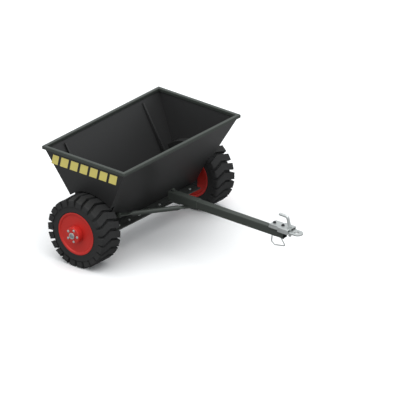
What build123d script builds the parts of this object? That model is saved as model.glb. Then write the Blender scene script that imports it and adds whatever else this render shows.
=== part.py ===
"""Towed drop spreader: sheet hopper, ground-driven feed roller, metering gate, two wheels, drawbar.

Millimetres. +Z is up, -Y is forward (towards the hitch), and left is -X, seen from the front.
The origin is on the ground, in the middle of the whole machine's length and width.
"""
import os
from math import atan2, cos, degrees, radians, sin, sqrt

from build123d import *

os.makedirs("parts", exist_ok=True)

# ---------------------------------------------------------------- driving sizes
TYRE_R = 204.0             # outside radius, over the lugs
TYRE_WIDTH = 160.0
TREAD_DEPTH = 19.0
LUG_COUNT = 22
RIM_SEAT_R = 118.0         # where the tyre's bead sits
RIM_FLANGE_R = 128.0
RIM_GAUGE = 3.0            # steel thickness of the wheel rim
WHEEL_SIDE_GAP = 13.0      # tyre's side wall to the wheel arch's flat face
DISC_SET_BACK = 12.0       # wheel disc behind the tyre's outer side wall
DISC_GAUGE = 4.0
HUB_R = 49.0               # hub casting
HUB_PROUD = 27.0           # hub's face beyond the tyre's outer side wall
HUB_LENGTH = 62.0
HUB_STEP = 4.0             # radius lost behind the disc
HUB_PCD = 71.0
HUB_BOLTS = 5

HOPPER_LENGTH = 1040.0     # outside the top frame, along X
HOPPER_DEPTH = 602.0       # outside the top frame, along Y
HOPPER_RISE = 453.0        # from the base plates to the top of the top frame
FRAME_TUBE = 20.0
FRAME_GAUGE = 2.0
SHEET = 2.0                # hopper sheet, measured level
SHEET_INSET = 12.0         # sheet's outer face inside the top frame's outer face
OUTLET_LENGTH = 840.0      # outside the sheets at the bottom
OUTLET_DEPTH = 112.0
BODY_LENGTH = 832.0        # outside the wheel arches' flat faces
ARCH_GAP = 10.0            # tyre to wheel arch, all round

BASE_LENGTH = 740.0        # base plates, along X
BASE_DEPTH = 80.0
BASE_GAUGE = 6.0
BASE_OVERLAP = 4.0         # base plates reach this far in under the hopper sheets
LIP_BOLT_COUNT = 8
LIP_BOLT_PITCH = 90.0
LIP_BOLT_FROM_EDGE = 36.0

AXLE_R = 12.5
AXLE_LENGTH = 1250.0
ROLLER_R = 46.0            # over the ribs
ROLLER_TUBE_R = 38.0
ROLLER_LENGTH = 724.0
ROLLER_RIBS = 12
LIP_GAUGE = 4.0

BAR_WIDTH = 40.0           # drawbar tube
BAR_HEIGHT = 50.0
BAR_GAUGE = 3.0
BAR_RISE = 77.0            # axle centre to the drawbar's underside
BAR_START = 212.0          # distances forward of the axle
BAR_END = 1052.0
SLEEVE_END = 421.0
SLEEVE_GAUGE = 3.0
EYE_REACH = 1138.0
NOSE_REACH = 1178.0
PIN_REACH = 1090.0
TONGUE_GAUGE = 10.0
TONGUE_WIDTH = 64.0
EYE_R = 14.0
HITCH_PIN_R = 9.0
CLEVIS_GAP = 8.0
CLEVIS_GAUGE = 6.0
BRACE_R = 14.0

GATE_TRAVEL = 25.0
LEVER_ARM = 45.0           # lever pivot to the gate pin
LEVER_LENGTH = 165.0       # lever pivot to the tip of the handle
LEVER_X = 60.0

RUNNING_FIT = 0.05         # radial, shaft in bore
CLEARANCE = 0.5            # between pieces that move past each other
BOLT_R = 4.0               # M8
HEAD_R = 7.0
HEAD_HEIGHT = 5.5
HEAD_CHAMFER = 0.8
SHANK_PROUD = 3.0          # shank beyond its nut

# ---------------------------------------------------------------- derived levels and places
AXLE_Z = TYRE_R
BASE_TOP = AXLE_Z - AXLE_R - CLEARANCE
FRAME_TOP = BASE_TOP + HOPPER_RISE
FRAME_BOTTOM = FRAME_TOP - FRAME_TUBE
AXLE_Y = (NOSE_REACH - HOPPER_DEPTH / 2) / 2

WALL_TOP_X = HOPPER_LENGTH / 2 - SHEET_INSET
WALL_TOP_Y = HOPPER_DEPTH / 2 - SHEET_INSET
WALL_LOW_X = OUTLET_LENGTH / 2
WALL_LOW_Y = OUTLET_DEPTH / 2
WALL_HEIGHT = FRAME_BOTTOM - BASE_TOP
WALL_SLOPE = (WALL_TOP_Y - WALL_LOW_Y) / WALL_HEIGHT

ARCH_X = BODY_LENGTH / 2
ARCH_R = TYRE_R + ARCH_GAP
WHEEL_X = ARCH_X + WHEEL_SIDE_GAP + TYRE_WIDTH / 2
TYRE_FACE = WHEEL_X + TYRE_WIDTH / 2
ROLLER_HALF = ROLLER_LENGTH / 2
AXLE_HOLE_R = AXLE_R + 7.0

BASE_EDGE = WALL_LOW_Y - BASE_OVERLAP + BASE_DEPTH
LIP_BOLT_Y = BASE_EDGE - LIP_BOLT_FROM_EDGE
BASE_BOTTOM = BASE_TOP - BASE_GAUGE
LIP_TOP = BASE_BOTTOM
BAR_BOTTOM = AXLE_Z + BAR_RISE
BAR_TOP = BAR_BOTTOM + BAR_HEIGHT
TONGUE_TOP = BAR_TOP + TONGUE_GAUGE
CLEVIS_LOW = TONGUE_TOP + CLEVIS_GAP
CLEVIS_TOP = CLEVIS_LOW + CLEVIS_GAUGE

SIDES = (("left", -1), ("right", 1))
ENDS = (("front", -1), ("back", 1))


def wall_y(level):
    """Distance from the axle to the outer face of the front and back sheets at a level."""
    return WALL_LOW_Y + WALL_SLOPE * (level - BASE_TOP)


def save(piece, name):
    """Labels a finished piece and writes it to its own file."""
    piece.part.label = name
    export_step(piece.part, f"parts/{name}.step")


def level_plane(height):
    """Level sketch plane above the axle's middle, with the machine's X and Y."""
    return Plane(origin=(0, AXLE_Y, height), x_dir=(1, 0, 0), z_dir=(0, 0, 1))


def side_plane(offset):
    """Upright plane across X through the axle; local x is forward, local y is world Z."""
    return Plane(origin=(offset, AXLE_Y, 0), x_dir=(0, -1, 0), z_dir=(-1, 0, 0))


def axle_plane(offset):
    """Upright plane across X centred on the axle; local x is forward, local y is up."""
    return Plane(origin=(offset, AXLE_Y, AXLE_Z), x_dir=(0, -1, 0), z_dir=(-1, 0, 0))


def hex_bolt(top, bottom, radius, head_r, head_height):
    """Upright bolt on the Z axis: head above top, nut below bottom."""
    with BuildPart() as bolt:
        with BuildSketch(Plane.XY.offset(top)):
            RegularPolygon(head_r, 6)
        extrude(amount=head_height)
        chamfer(bolt.faces().sort_by(Axis.Z)[-1].edges(), HEAD_CHAMFER)
        with BuildSketch(Plane.XY.offset(bottom - head_height)):
            RegularPolygon(head_r, 6)
        extrude(amount=head_height)
        with BuildSketch(Plane.XY.offset(bottom - head_height - SHANK_PROUD)):
            Circle(radius)
        extrude(amount=top - bottom + head_height + SHANK_PROUD)
    return bolt.part


# ---------------------------------------------------------------- hopper
def tapered_block(low_x, low_y, top_x, top_y):
    """Block between the base plates and the top frame, from its half sizes at both ends."""
    with BuildPart() as block:
        with BuildSketch(level_plane(BASE_TOP)):
            Rectangle(2 * low_x, 2 * low_y)
        with BuildSketch(level_plane(FRAME_BOTTOM)):
            Rectangle(2 * top_x, 2 * top_y)
        loft()
    return block.part


BEARING_BOLT_R = 52.0      # bolts' distance from the axle
BEARING_BOLT_TURNS = (45, 135)
bearing_bolt_spots = [
    (BEARING_BOLT_R * cos(radians(turn)), BEARING_BOLT_R * sin(radians(turn)))
    for turn in BEARING_BOLT_TURNS]


def bearing_bolt_places():
    """Places of one bearing's bolts, on a plane centred on the axle."""
    return Locations(bearing_bolt_spots)


WIDER = 60.0               # makes a cutting block run past the sheets it leaves whole
WHEEL_ROOM = 300.0         # depth of the space cut for a wheel
hopper_outside = tapered_block(WALL_LOW_X, WALL_LOW_Y, WALL_TOP_X, WALL_TOP_Y)
between_long_walls = tapered_block(
    WALL_LOW_X + WIDER, WALL_LOW_Y - SHEET, WALL_TOP_X + WIDER, WALL_TOP_Y - SHEET)
between_end_walls = tapered_block(
    WALL_LOW_X - SHEET, WALL_LOW_Y + WIDER, WALL_TOP_X - SHEET, WALL_TOP_Y + WIDER)


def wheel_space(radius, start):
    """Both round wheel spaces, from start outwards on each side."""
    with BuildPart() as space:
        for _, side in SIDES:
            with BuildSketch(axle_plane(side * start)):
                Circle(radius)
            extrude(amount=-side * WHEEL_ROOM)
    return space.part


wheel_room = wheel_space(ARCH_R, ARCH_X)

for end_name, end in ENDS:
    with BuildPart() as long_wall:
        add(hopper_outside)
        add(between_long_walls, mode=Mode.SUBTRACT)
        add(wheel_room, mode=Mode.SUBTRACT)
        split(bisect_by=Plane(origin=(0, AXLE_Y, 0), z_dir=(0, end, 0)), keep=Keep.TOP)
    save(long_wall, f"{end_name}_wall")

arch_outside = wheel_space(ARCH_R + SHEET, ARCH_X - SHEET)
for side_name, side in SIDES:
    half = Plane(origin=(0, AXLE_Y, 0), z_dir=(side, 0, 0))
    with BuildPart() as end_wall:
        add(hopper_outside)
        add(between_long_walls, mode=Mode.INTERSECT)
        add(between_end_walls, mode=Mode.SUBTRACT)
        add(arch_outside, mode=Mode.SUBTRACT)
        split(bisect_by=half, keep=Keep.TOP)
    save(end_wall, f"{side_name}_end_wall")

    with BuildPart() as wheel_arch:
        add(arch_outside)
        add(hopper_outside, mode=Mode.INTERSECT)
        add(between_long_walls, mode=Mode.INTERSECT)
        add(wheel_room, mode=Mode.SUBTRACT)
        with BuildSketch(axle_plane(side * (ARCH_X - SHEET))):
            Circle(AXLE_HOLE_R)
            with bearing_bolt_places():
                Circle(BOLT_R)
        extrude(amount=-side * SHEET, mode=Mode.SUBTRACT)
        split(bisect_by=half, keep=Keep.TOP)
    save(wheel_arch, f"{side_name}_wheel_arch")


def frame_tube(length, turn, shift):
    """One mitred square tube of the top frame, turned about Z and shifted out from the middle."""
    middle = level_plane(FRAME_BOTTOM).rotated((0, 0, turn))
    outer = length / 2
    inner = outer - FRAME_TUBE
    with BuildPart() as tube:
        with BuildSketch(middle):
            with BuildLine():
                Polyline((-outer, -shift), (outer, -shift), (inner, FRAME_TUBE - shift),
                         (-inner, FRAME_TUBE - shift), close=True)
            make_face()
        extrude(amount=FRAME_TUBE)
        with BuildSketch(middle.offset(FRAME_GAUGE)):
            with Locations((0, FRAME_TUBE / 2 - shift)):
                Rectangle(length, FRAME_TUBE - 2 * FRAME_GAUGE)
        extrude(amount=FRAME_TUBE - 2 * FRAME_GAUGE, mode=Mode.SUBTRACT)
    return tube


save(frame_tube(HOPPER_LENGTH, 0, HOPPER_DEPTH / 2), "frame_front_tube")
save(frame_tube(HOPPER_LENGTH, 180, HOPPER_DEPTH / 2), "frame_back_tube")
save(frame_tube(HOPPER_DEPTH, 90, HOPPER_LENGTH / 2), "frame_right_tube")
save(frame_tube(HOPPER_DEPTH, -90, HOPPER_LENGTH / 2), "frame_left_tube")

# Four tapered ribs stiffen the long sheets inside the hopper, each folded over at its free edge.
RIB_X = 343.0
RIB_GAUGE = 3.0
RIB_TOP_GAP = 16.0
RIB_TOP_DEPTH = 8.0
RIB_LOW_DEPTH = 42.0
RIB_LIP = 10.0
RIB_ABOVE_ROLLER = 12.0
rib_low = AXLE_Z + ROLLER_R + RIB_ABOVE_ROLLER
rib_top = FRAME_BOTTOM - RIB_TOP_GAP
for end_name, end in ENDS:
    for side_name, side in SIDES:
        reach_top = -end * (wall_y(rib_top) - SHEET)
        reach_low = -end * (wall_y(rib_low) - SHEET)
        edge_top = reach_top + end * RIB_TOP_DEPTH
        edge_low = reach_low + end * RIB_LOW_DEPTH
        with BuildPart() as rib:
            with BuildSketch(side_plane(side * RIB_X)):
                with BuildLine():
                    Polyline((reach_top, rib_top), (reach_low, rib_low), (edge_low, rib_low),
                             (edge_top, rib_top), close=True)
                make_face()
            extrude(amount=-side * RIB_GAUGE)
            with BuildSketch(side_plane(side * RIB_X)):
                with BuildLine():
                    Polyline((edge_top, rib_top), (edge_low, rib_low),
                             (edge_low + end * RIB_GAUGE, rib_low),
                             (edge_top + end * RIB_GAUGE, rib_top), close=True)
                make_face()
            extrude(amount=-side * RIB_LIP)
        save(rib, f"{end_name}_{side_name}_rib")

# ---------------------------------------------------------------- outlet: plates, lips and bearings
lip_bolt_x = [(i - (LIP_BOLT_COUNT - 1) / 2) * LIP_BOLT_PITCH for i in range(LIP_BOLT_COUNT)]
plate_inner = BASE_EDGE - BASE_DEPTH
PLATE_CHAMFER = 1.5
GATE_GAP = 0.4
GATE_GAUGE = 4.0
gate_top = BASE_BOTTOM - GATE_GAP
gate_bottom = gate_top - GATE_GAUGE
lip_bottom = LIP_TOP - LIP_GAUGE
CLAMP_BAR_GAUGE = 4.0
clamp_bottom = lip_bottom - CLAMP_BAR_GAUGE
lip_level = lip_bottom + LIP_GAUGE / 2
roller_width_at_lip = sqrt(ROLLER_R ** 2 - (AXLE_Z - lip_level) ** 2)
LIP_TO_ROLLER = 1.5
lip_inner = roller_width_at_lip + LIP_TO_ROLLER

for end_name, end in ENDS:
    with BuildPart() as base_plate:
        with BuildSketch(level_plane(BASE_BOTTOM)):
            with Locations((0, end * (plate_inner + BASE_DEPTH / 2))):
                Rectangle(BASE_LENGTH, BASE_DEPTH)
            with Locations([(x, end * LIP_BOLT_Y) for x in lip_bolt_x]):
                Circle(BOLT_R, mode=Mode.SUBTRACT)
        extrude(amount=BASE_GAUGE)
        outer_edge = base_plate.faces().sort_by(Axis.Y)[0 if end < 0 else -1].edges()
        chamfer(outer_edge.filter_by(Axis.X).sort_by(Axis.Z)[-1], PLATE_CHAMFER)
    save(base_plate, f"{end_name}_base_plate")

floor_end = ARCH_X - SHEET
for side_name, side in SIDES:
    with BuildPart() as floor_plate:
        with BuildSketch(level_plane(BASE_BOTTOM)):
            with Locations((side * (BASE_LENGTH / 2 + floor_end) / 2, 0)):
                Rectangle(floor_end - BASE_LENGTH / 2, OUTLET_DEPTH - 2 * SHEET)
        extrude(amount=BASE_GAUGE)
    save(floor_plate, f"{side_name}_floor_plate")

LIP_END_GAP = 2.0
LIP_MARGIN = 18.0          # lip beyond its bolts
CLAMP_BAR_WIDTH = 32.0
LIP_LENGTH = BASE_LENGTH - 2 * LIP_END_GAP
lip_outer = LIP_BOLT_Y + LIP_MARGIN
with BuildPart() as front_lip:
    with BuildSketch(level_plane(lip_bottom)):
        with Locations((0, -(lip_inner + lip_outer) / 2)):
            Rectangle(LIP_LENGTH, lip_outer - lip_inner)
        with Locations([(x, -LIP_BOLT_Y) for x in lip_bolt_x]):
            Circle(BOLT_R, mode=Mode.SUBTRACT)
    extrude(amount=LIP_GAUGE)
save(front_lip, "front_rubber_lip")

with BuildPart() as clamp_bar:
    with BuildSketch(level_plane(clamp_bottom)):
        with Locations((0, -LIP_BOLT_Y)):
            Rectangle(LIP_LENGTH, CLAMP_BAR_WIDTH)
        with Locations([(x, -LIP_BOLT_Y) for x in lip_bolt_x]):
            Circle(BOLT_R, mode=Mode.SUBTRACT)
    extrude(amount=CLAMP_BAR_GAUGE)
save(clamp_bar, "front_clamp_bar")

lip_bolt = hex_bolt(BASE_TOP, clamp_bottom, BOLT_R, HEAD_R, HEAD_HEIGHT)
with BuildPart() as front_bolts:
    with Locations([(x, AXLE_Y - LIP_BOLT_Y, 0) for x in lip_bolt_x]):
        add(lip_bolt)
save(front_bolts, "front_lip_bolts")

# Shoulder bolts carry the gate under the rear base plate and run in its slots.
GATE_HEAD_R = 9.0
gate_bolt = hex_bolt(BASE_TOP, gate_bottom - GATE_GAP, BOLT_R, GATE_HEAD_R, HEAD_HEIGHT)
with BuildPart() as gate_bolts:
    with Locations([(x, AXLE_Y + LIP_BOLT_Y, 0) for x in lip_bolt_x]):
        add(gate_bolt)
save(gate_bolts, "gate_shoulder_bolts")

GATE_LENGTH = LIP_LENGTH
SEAL_DEPTH = 10.0
gate_front = lip_inner + SEAL_DEPTH
with BuildPart() as gate_seal:
    with BuildSketch(level_plane(gate_bottom)):
        with Locations((0, (lip_inner + gate_front) / 2)):
            Rectangle(GATE_LENGTH, SEAL_DEPTH)
    extrude(amount=GATE_GAUGE)
save(gate_seal, "gate_rubber_lip")

BEARING_PLATE = 5.0
BEARING_PLATE_WIDTH = 130.0
BEARING_PLATE_CORNER = 12.0
BEARING_PLATE_DROP = 40.0  # below the base plates
BEARING_PLATE_RISE = 62.0  # above the axle
BEARING_EAR_R = 11.0
BEARING_BOSS_R = 24.0
BEARING_FLANGE = 8.0
BEARING_DEPTH = 22.0
bearing_low = BASE_BOTTOM - BEARING_PLATE_DROP
bearing_high = AXLE_Z + BEARING_PLATE_RISE
bearing_face = ARCH_X + BEARING_PLATE
for side_name, side in SIDES:
    with BuildPart() as bearing_plate:
        with BuildSketch(side_plane(side * ARCH_X)):
            with Locations((0, (bearing_low + bearing_high) / 2)):
                RectangleRounded(
                    BEARING_PLATE_WIDTH, bearing_high - bearing_low, BEARING_PLATE_CORNER)
            with Locations((0, AXLE_Z)):
                Circle(AXLE_HOLE_R, mode=Mode.SUBTRACT)
            with Locations([(x, AXLE_Z + y) for x, y in bearing_bolt_spots]):
                Circle(BOLT_R, mode=Mode.SUBTRACT)
        extrude(amount=-side * BEARING_PLATE)
    save(bearing_plate, f"{side_name}_bearing_plate")

    with BuildPart() as bearing:
        with BuildSketch(axle_plane(side * bearing_face)):
            with bearing_bolt_places():
                Circle(BEARING_EAR_R)
            Circle(BEARING_BOSS_R)
            make_hull()
        extrude(amount=-side * BEARING_FLANGE)
        with BuildSketch(axle_plane(side * bearing_face)):
            Circle(BEARING_BOSS_R)
        extrude(amount=-side * BEARING_DEPTH)
        with BuildSketch(axle_plane(side * bearing_face)):
            Circle(AXLE_R + RUNNING_FIT)
            with bearing_bolt_places():
                Circle(BOLT_R)
        extrude(amount=-side * BEARING_DEPTH, mode=Mode.SUBTRACT)
    save(bearing, f"{side_name}_bearing")

inner_face = ARCH_X - SHEET
outer_face = bearing_face + BEARING_FLANGE
with BuildPart() as bearing_bolts:
    for _, side in SIDES:
        for start in (outer_face, inner_face - HEAD_HEIGHT):
            with BuildSketch(axle_plane(side * start)):
                with bearing_bolt_places():
                    RegularPolygon(HEAD_R, 6)
            extrude(amount=-side * HEAD_HEIGHT)
        with BuildSketch(axle_plane(side * inner_face)):
            with bearing_bolt_places():
                Circle(BOLT_R)
        extrude(amount=-side * (outer_face - inner_face))
save(bearing_bolts, "bearing_bolts")

# ---------------------------------------------------------------- axle, roller and wheels
HUB_FACE = TYRE_FACE + HUB_PROUD
HUB_BACK = HUB_FACE - HUB_LENGTH
DISC_FACE = TYRE_FACE - DISC_SET_BACK
GROOVE_RISE = 23.0
GROOVE_WIDTH = 10.0
GROOVE_SPARE = 5.0         # cuts run this far past the tyre
PIN_FROM_FACE = 12.0       # drive pin behind the hub's face


def tread_grooves(side):
    """All the V-shaped grooves of one tyre, whose points trail over the top."""
    reach = TYRE_WIDTH / 2 + GROOVE_SPARE
    groove_floor = Plane(origin=(side * WHEEL_X, AXLE_Y, AXLE_Z + TYRE_R - TREAD_DEPTH))
    with BuildPart() as groove:
        with BuildSketch(groove_floor):
            with BuildLine():
                Polyline((-reach, 0), (0, GROOVE_RISE), (reach, 0), (reach, GROOVE_WIDTH),
                         (0, GROOVE_RISE + GROOVE_WIDTH), (-reach, GROOVE_WIDTH), close=True)
            make_face()
        extrude(amount=TREAD_DEPTH + GROOVE_SPARE)
    spin = Axis((0, AXLE_Y, AXLE_Z), (1, 0, 0))
    with BuildPart() as grooves:
        for lug in range(LUG_COUNT):
            add(groove.part.rotate(spin, 360 * lug / LUG_COUNT))
    return grooves.part


def pin_hole_plane(depth):
    """Level plane across the left hub's upright cross pin, depth below the axle."""
    return Plane(origin=(-(HUB_FACE - PIN_FROM_FACE), AXLE_Y, AXLE_Z - depth))


COLLAR_R = 19.0
DRIVE_PIN_R = 3.0
AXLE_CHAMFER = 1.5
ROLLER_WALL = 4.0
ROLLER_RIB_WIDTH = 6.0
ROLLER_DISC = 10.0         # thickness of the discs that carry the roller's tube
RIB_ROOT = 1.0             # ribs sink this far into the tube
collar_start = HUB_FACE + CLEARANCE
roller_bore = ROLLER_TUBE_R - ROLLER_WALL
with BuildPart() as axle:
    with BuildSketch(axle_plane(-AXLE_LENGTH / 2)):
        Circle(AXLE_R)
    extrude(amount=-AXLE_LENGTH)
    chamfer(axle.edges().filter_by(GeomType.CIRCLE), AXLE_CHAMFER)
    with BuildSketch(pin_hole_plane(HUB_R)):
        Circle(DRIVE_PIN_R)
    extrude(amount=2 * HUB_R, mode=Mode.SUBTRACT)
save(axle, "axle_shaft")

with BuildPart() as roller:
    with BuildSketch(axle_plane(-ROLLER_HALF)):
        Circle(ROLLER_TUBE_R)
        with PolarLocations(ROLLER_TUBE_R - RIB_ROOT, ROLLER_RIBS):
            Rectangle(2 * (ROLLER_R - ROLLER_TUBE_R + RIB_ROOT), ROLLER_RIB_WIDTH)
        Circle(roller_bore, mode=Mode.SUBTRACT)
    extrude(amount=-ROLLER_LENGTH)
    for start in (-ROLLER_HALF, ROLLER_HALF - ROLLER_DISC, -ROLLER_DISC / 2):
        with BuildSketch(axle_plane(start)):
            Circle(roller_bore)
            Circle(AXLE_R, mode=Mode.SUBTRACT)
        extrude(amount=-ROLLER_DISC)
save(roller, "feed_roller")

BEAD_IN = 8.0              # bead's side inside the tyre's side wall
SHOULDER_IN = 9.0
SHOULDER_DROP = 7.0
SHOULDER_R = 9.0
LUG_END_DROP = 36.0        # lug ends stand proud of the side wall down to here
WALL_DROP = 42.0           # below this the side wall curves in to the bead
WALL_IN = 6.0
BULGE_DROP = 58.0
BULGE_IN = 5.0
FLANGE_CLEAR = 1.0         # tyre to the rim flange's edge
FLANGE_GAUGE = 5.0
FLANGE_STEP = 3.0          # flange's outer face inside the tyre's side wall
HUB_CHAMFER = 2.0
HUB_NUT_HEIGHT = 5.0
HUB_HEAD_HEIGHT = 4.5
half = TYRE_WIDTH / 2
bead = half - BEAD_IN
bead_r = RIM_FLANGE_R + FLANGE_CLEAR
seat_in = RIM_SEAT_R - RIM_GAUGE
disc = DISC_FACE - WHEEL_X
for side_name, side in SIDES:
    wheel_plane = Plane(
        origin=(side * WHEEL_X, AXLE_Y, AXLE_Z), x_dir=(side, 0, 0), z_dir=(0, -side, 0))
    with BuildPart() as tyre:
        with BuildSketch(wheel_plane):
            with BuildLine():
                crown = Line((-half + SHOULDER_IN, TYRE_R), (half - SHOULDER_IN, TYRE_R))
                for hand, radius in ((1, SHOULDER_R), (-1, -SHOULDER_R)):
                    edge = hand * half
                    RadiusArc(crown @ ((hand + 1) / 2), (edge, TYRE_R - SHOULDER_DROP), radius)
                    wall_top = (hand * (half - WALL_IN), TYRE_R - WALL_DROP)
                    bulge = (hand * (half - BULGE_IN), TYRE_R - BULGE_DROP)
                    Line((edge, TYRE_R - SHOULDER_DROP), (edge, TYRE_R - LUG_END_DROP))
                    Line((edge, TYRE_R - LUG_END_DROP), wall_top)
                    ThreePointArc(wall_top, bulge, (hand * bead, bead_r))
                    Line((hand * bead, bead_r), (hand * bead, RIM_SEAT_R))
                Line((bead, RIM_SEAT_R), (-bead, RIM_SEAT_R))
            make_face()
        revolve(axis=Axis((0, AXLE_Y, AXLE_Z), (-side, 0, 0)))
        add(tread_grooves(side), mode=Mode.SUBTRACT)
    save(tyre, f"{side_name}_tyre")

    with BuildPart() as rim:
        with BuildSketch(wheel_plane):
            with BuildLine():
                Polyline((-bead, seat_in), (-bead, RIM_SEAT_R), (bead, RIM_SEAT_R),
                         (bead, RIM_FLANGE_R), (half - FLANGE_STEP, RIM_FLANGE_R),
                         (half - FLANGE_STEP, seat_in), (disc, seat_in),
                         (disc, HUB_R - HUB_STEP), (disc - DISC_GAUGE, HUB_R - HUB_STEP),
                         (disc - DISC_GAUGE, seat_in), close=True)
            make_face()
            with Locations((FLANGE_STEP + FLANGE_GAUGE / 2 - half, (RIM_FLANGE_R + seat_in) / 2)):
                Rectangle(FLANGE_GAUGE, RIM_FLANGE_R - seat_in)
        revolve(axis=Axis((0, AXLE_Y, AXLE_Z), (-side, 0, 0)))
    save(rim, f"{side_name}_wheel_rim")

    bore = AXLE_R if side < 0 else AXLE_R + RUNNING_FIT
    with BuildPart() as hub:
        with BuildSketch(axle_plane(side * DISC_FACE)):
            Circle(HUB_R)
        extrude(amount=-side * (HUB_FACE - DISC_FACE))
        chamfer(hub.edges().filter_by(GeomType.CIRCLE), HUB_CHAMFER)
        with BuildSketch(axle_plane(side * HUB_BACK)):
            Circle(HUB_R - HUB_STEP)
        extrude(amount=-side * (DISC_FACE - HUB_BACK))
        with BuildSketch(axle_plane(side * HUB_BACK)):
            Circle(bore)
            with PolarLocations(HUB_PCD / 2, HUB_BOLTS):
                Circle(BOLT_R)
        extrude(amount=-side * (HUB_FACE - HUB_BACK), mode=Mode.SUBTRACT)
        if side < 0:
            with BuildSketch(pin_hole_plane(HUB_R)):
                Circle(DRIVE_PIN_R)
            extrude(amount=2 * HUB_R, mode=Mode.SUBTRACT)
    save(hub, f"{side_name}_hub")

    with BuildPart() as hub_bolts:
        for start, height in ((HUB_FACE, HUB_HEAD_HEIGHT), (HUB_BACK - HUB_NUT_HEIGHT, HUB_NUT_HEIGHT)):
            with BuildSketch(axle_plane(side * start)):
                with PolarLocations(HUB_PCD / 2, HUB_BOLTS):
                    RegularPolygon(HEAD_R, 6)
            extrude(amount=-side * height)
        with BuildSketch(axle_plane(side * HUB_BACK)):
            with PolarLocations(HUB_PCD / 2, HUB_BOLTS):
                Circle(BOLT_R)
        extrude(amount=-side * (HUB_FACE - HUB_BACK))
    save(hub_bolts, f"{side_name}_hub_bolts")

with BuildPart() as drive_pin:
    with BuildSketch(pin_hole_plane(HUB_R - 1)):
        Circle(DRIVE_PIN_R)
    extrude(amount=2 * HUB_R - 2)
save(drive_pin, "drive_pin")

with BuildPart() as collars:
    for _, side in SIDES:
        with BuildSketch(axle_plane(side * collar_start)):
            Circle(COLLAR_R)
            Circle(AXLE_R, mode=Mode.SUBTRACT)
        extrude(amount=-side * (AXLE_LENGTH / 2 - AXLE_CHAMFER - collar_start))
save(collars, "axle_collars")

# ---------------------------------------------------------------- drawbar
sleeve_width = BAR_WIDTH + 2 * SLEEVE_GAUGE
REAR_BOLT_REACH = 234.0
BRACE_BOLT_REACH = 363.0
HITCH_BOLT_REACHES = (977.0, 1039.0)
SLEEVE_BOLT_REACH = 398.0
BAR_CORNER = 5.0
SLEEVE_CORNER = 7.0
BAR_INNER_CORNER = 2.0
DRILL_SPARE = 20.0         # bolt holes are cut this far past the tubes


def across_plane(reach):
    """Upright plane across the drawbar, at a distance forward of the axle; local y is world Z."""
    return Plane(origin=(0, AXLE_Y - reach, 0), x_dir=(1, 0, 0), z_dir=(0, -1, 0))


bar_middle = (BAR_BOTTOM + BAR_TOP) / 2



def drill_bar(reaches, depth):
    """Cuts upright bolt holes at distances forward of the axle, from under the drawbar."""
    with BuildSketch(level_plane(BAR_BOTTOM - DRILL_SPARE)) as holes:
        with Locations([(0, -reach) for reach in reaches]):
            Circle(BOLT_R)
    extrude(holes.sketch, amount=DRILL_SPARE + depth, mode=Mode.SUBTRACT)


with BuildPart() as drawbar:
    with BuildSketch(across_plane(BAR_START)):
        with Locations((0, bar_middle)):
            RectangleRounded(BAR_WIDTH, BAR_HEIGHT, BAR_CORNER)
            RectangleRounded(BAR_WIDTH - 2 * BAR_GAUGE, BAR_HEIGHT - 2 * BAR_GAUGE,
                             BAR_INNER_CORNER, mode=Mode.SUBTRACT)
    extrude(amount=BAR_END - BAR_START)
    drill_bar((REAR_BOLT_REACH, *HITCH_BOLT_REACHES), BAR_HEIGHT + DRILL_SPARE)
    drill_bar((BRACE_BOLT_REACH, SLEEVE_BOLT_REACH), BAR_GAUGE)
save(drawbar, "drawbar_tube")

with BuildPart() as sleeve:
    with BuildSketch(across_plane(BAR_START)):
        with Locations((0, bar_middle)):
            RectangleRounded(sleeve_width, BAR_HEIGHT + 2 * SLEEVE_GAUGE, SLEEVE_CORNER)
            RectangleRounded(BAR_WIDTH, BAR_HEIGHT, BAR_CORNER, mode=Mode.SUBTRACT)
    extrude(amount=SLEEVE_END - BAR_START)
    drill_bar([REAR_BOLT_REACH], BAR_HEIGHT + DRILL_SPARE)
    drill_bar((BRACE_BOLT_REACH, SLEEVE_BOLT_REACH), BAR_GAUGE)
save(sleeve, "drawbar_sleeve")

# A bent plate carries the drawbar: foot on the front base plate, slanting web, pad under the sleeve.
SUPPORT_GAUGE = 6.0
SUPPORT_WIDTH = 40.0
SUPPORT_PAD = 82.0
BEHIND_WEB = 36.0          # pad behind the slanting web
FOOT_FROM_BOLT = 4.0
WEB_FOOT = 8.0             # level widths of the web at its foot and at the pad
WEB_HEAD = 10.0
sleeve_bottom = BAR_BOTTOM - SLEEVE_GAUGE
foot_back = LIP_BOLT_Y + HEAD_R + FOOT_FROM_BOLT
foot_front = BASE_EDGE
pad_back = BAR_START + CLEARANCE
pad_front = pad_back + SUPPORT_PAD
pad_bottom = sleeve_bottom - SUPPORT_GAUGE
web_run = pad_back + BEHIND_WEB
with BuildPart() as support:
    with BuildSketch(side_plane(SUPPORT_WIDTH / 2)):
        with BuildLine():
            Polyline((foot_back, BASE_TOP), (foot_front, BASE_TOP),
                     (web_run, pad_bottom), (pad_front, pad_bottom), (pad_front, sleeve_bottom),
                     (pad_back, sleeve_bottom), (pad_back, pad_bottom),
                     (web_run - WEB_HEAD, pad_bottom),
                     (foot_front - WEB_FOOT, BASE_TOP + SUPPORT_GAUGE),
                     (foot_back, BASE_TOP + SUPPORT_GAUGE),
                     close=True)
        make_face()
    extrude(amount=SUPPORT_WIDTH)
    with BuildSketch(level_plane(pad_bottom)):
        with Locations((0, -REAR_BOLT_REACH)):
            Circle(BOLT_R)
    extrude(amount=SUPPORT_GAUGE, mode=Mode.SUBTRACT)
save(support, "drawbar_support")

sleeve_top = BAR_TOP + SLEEVE_GAUGE
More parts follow.
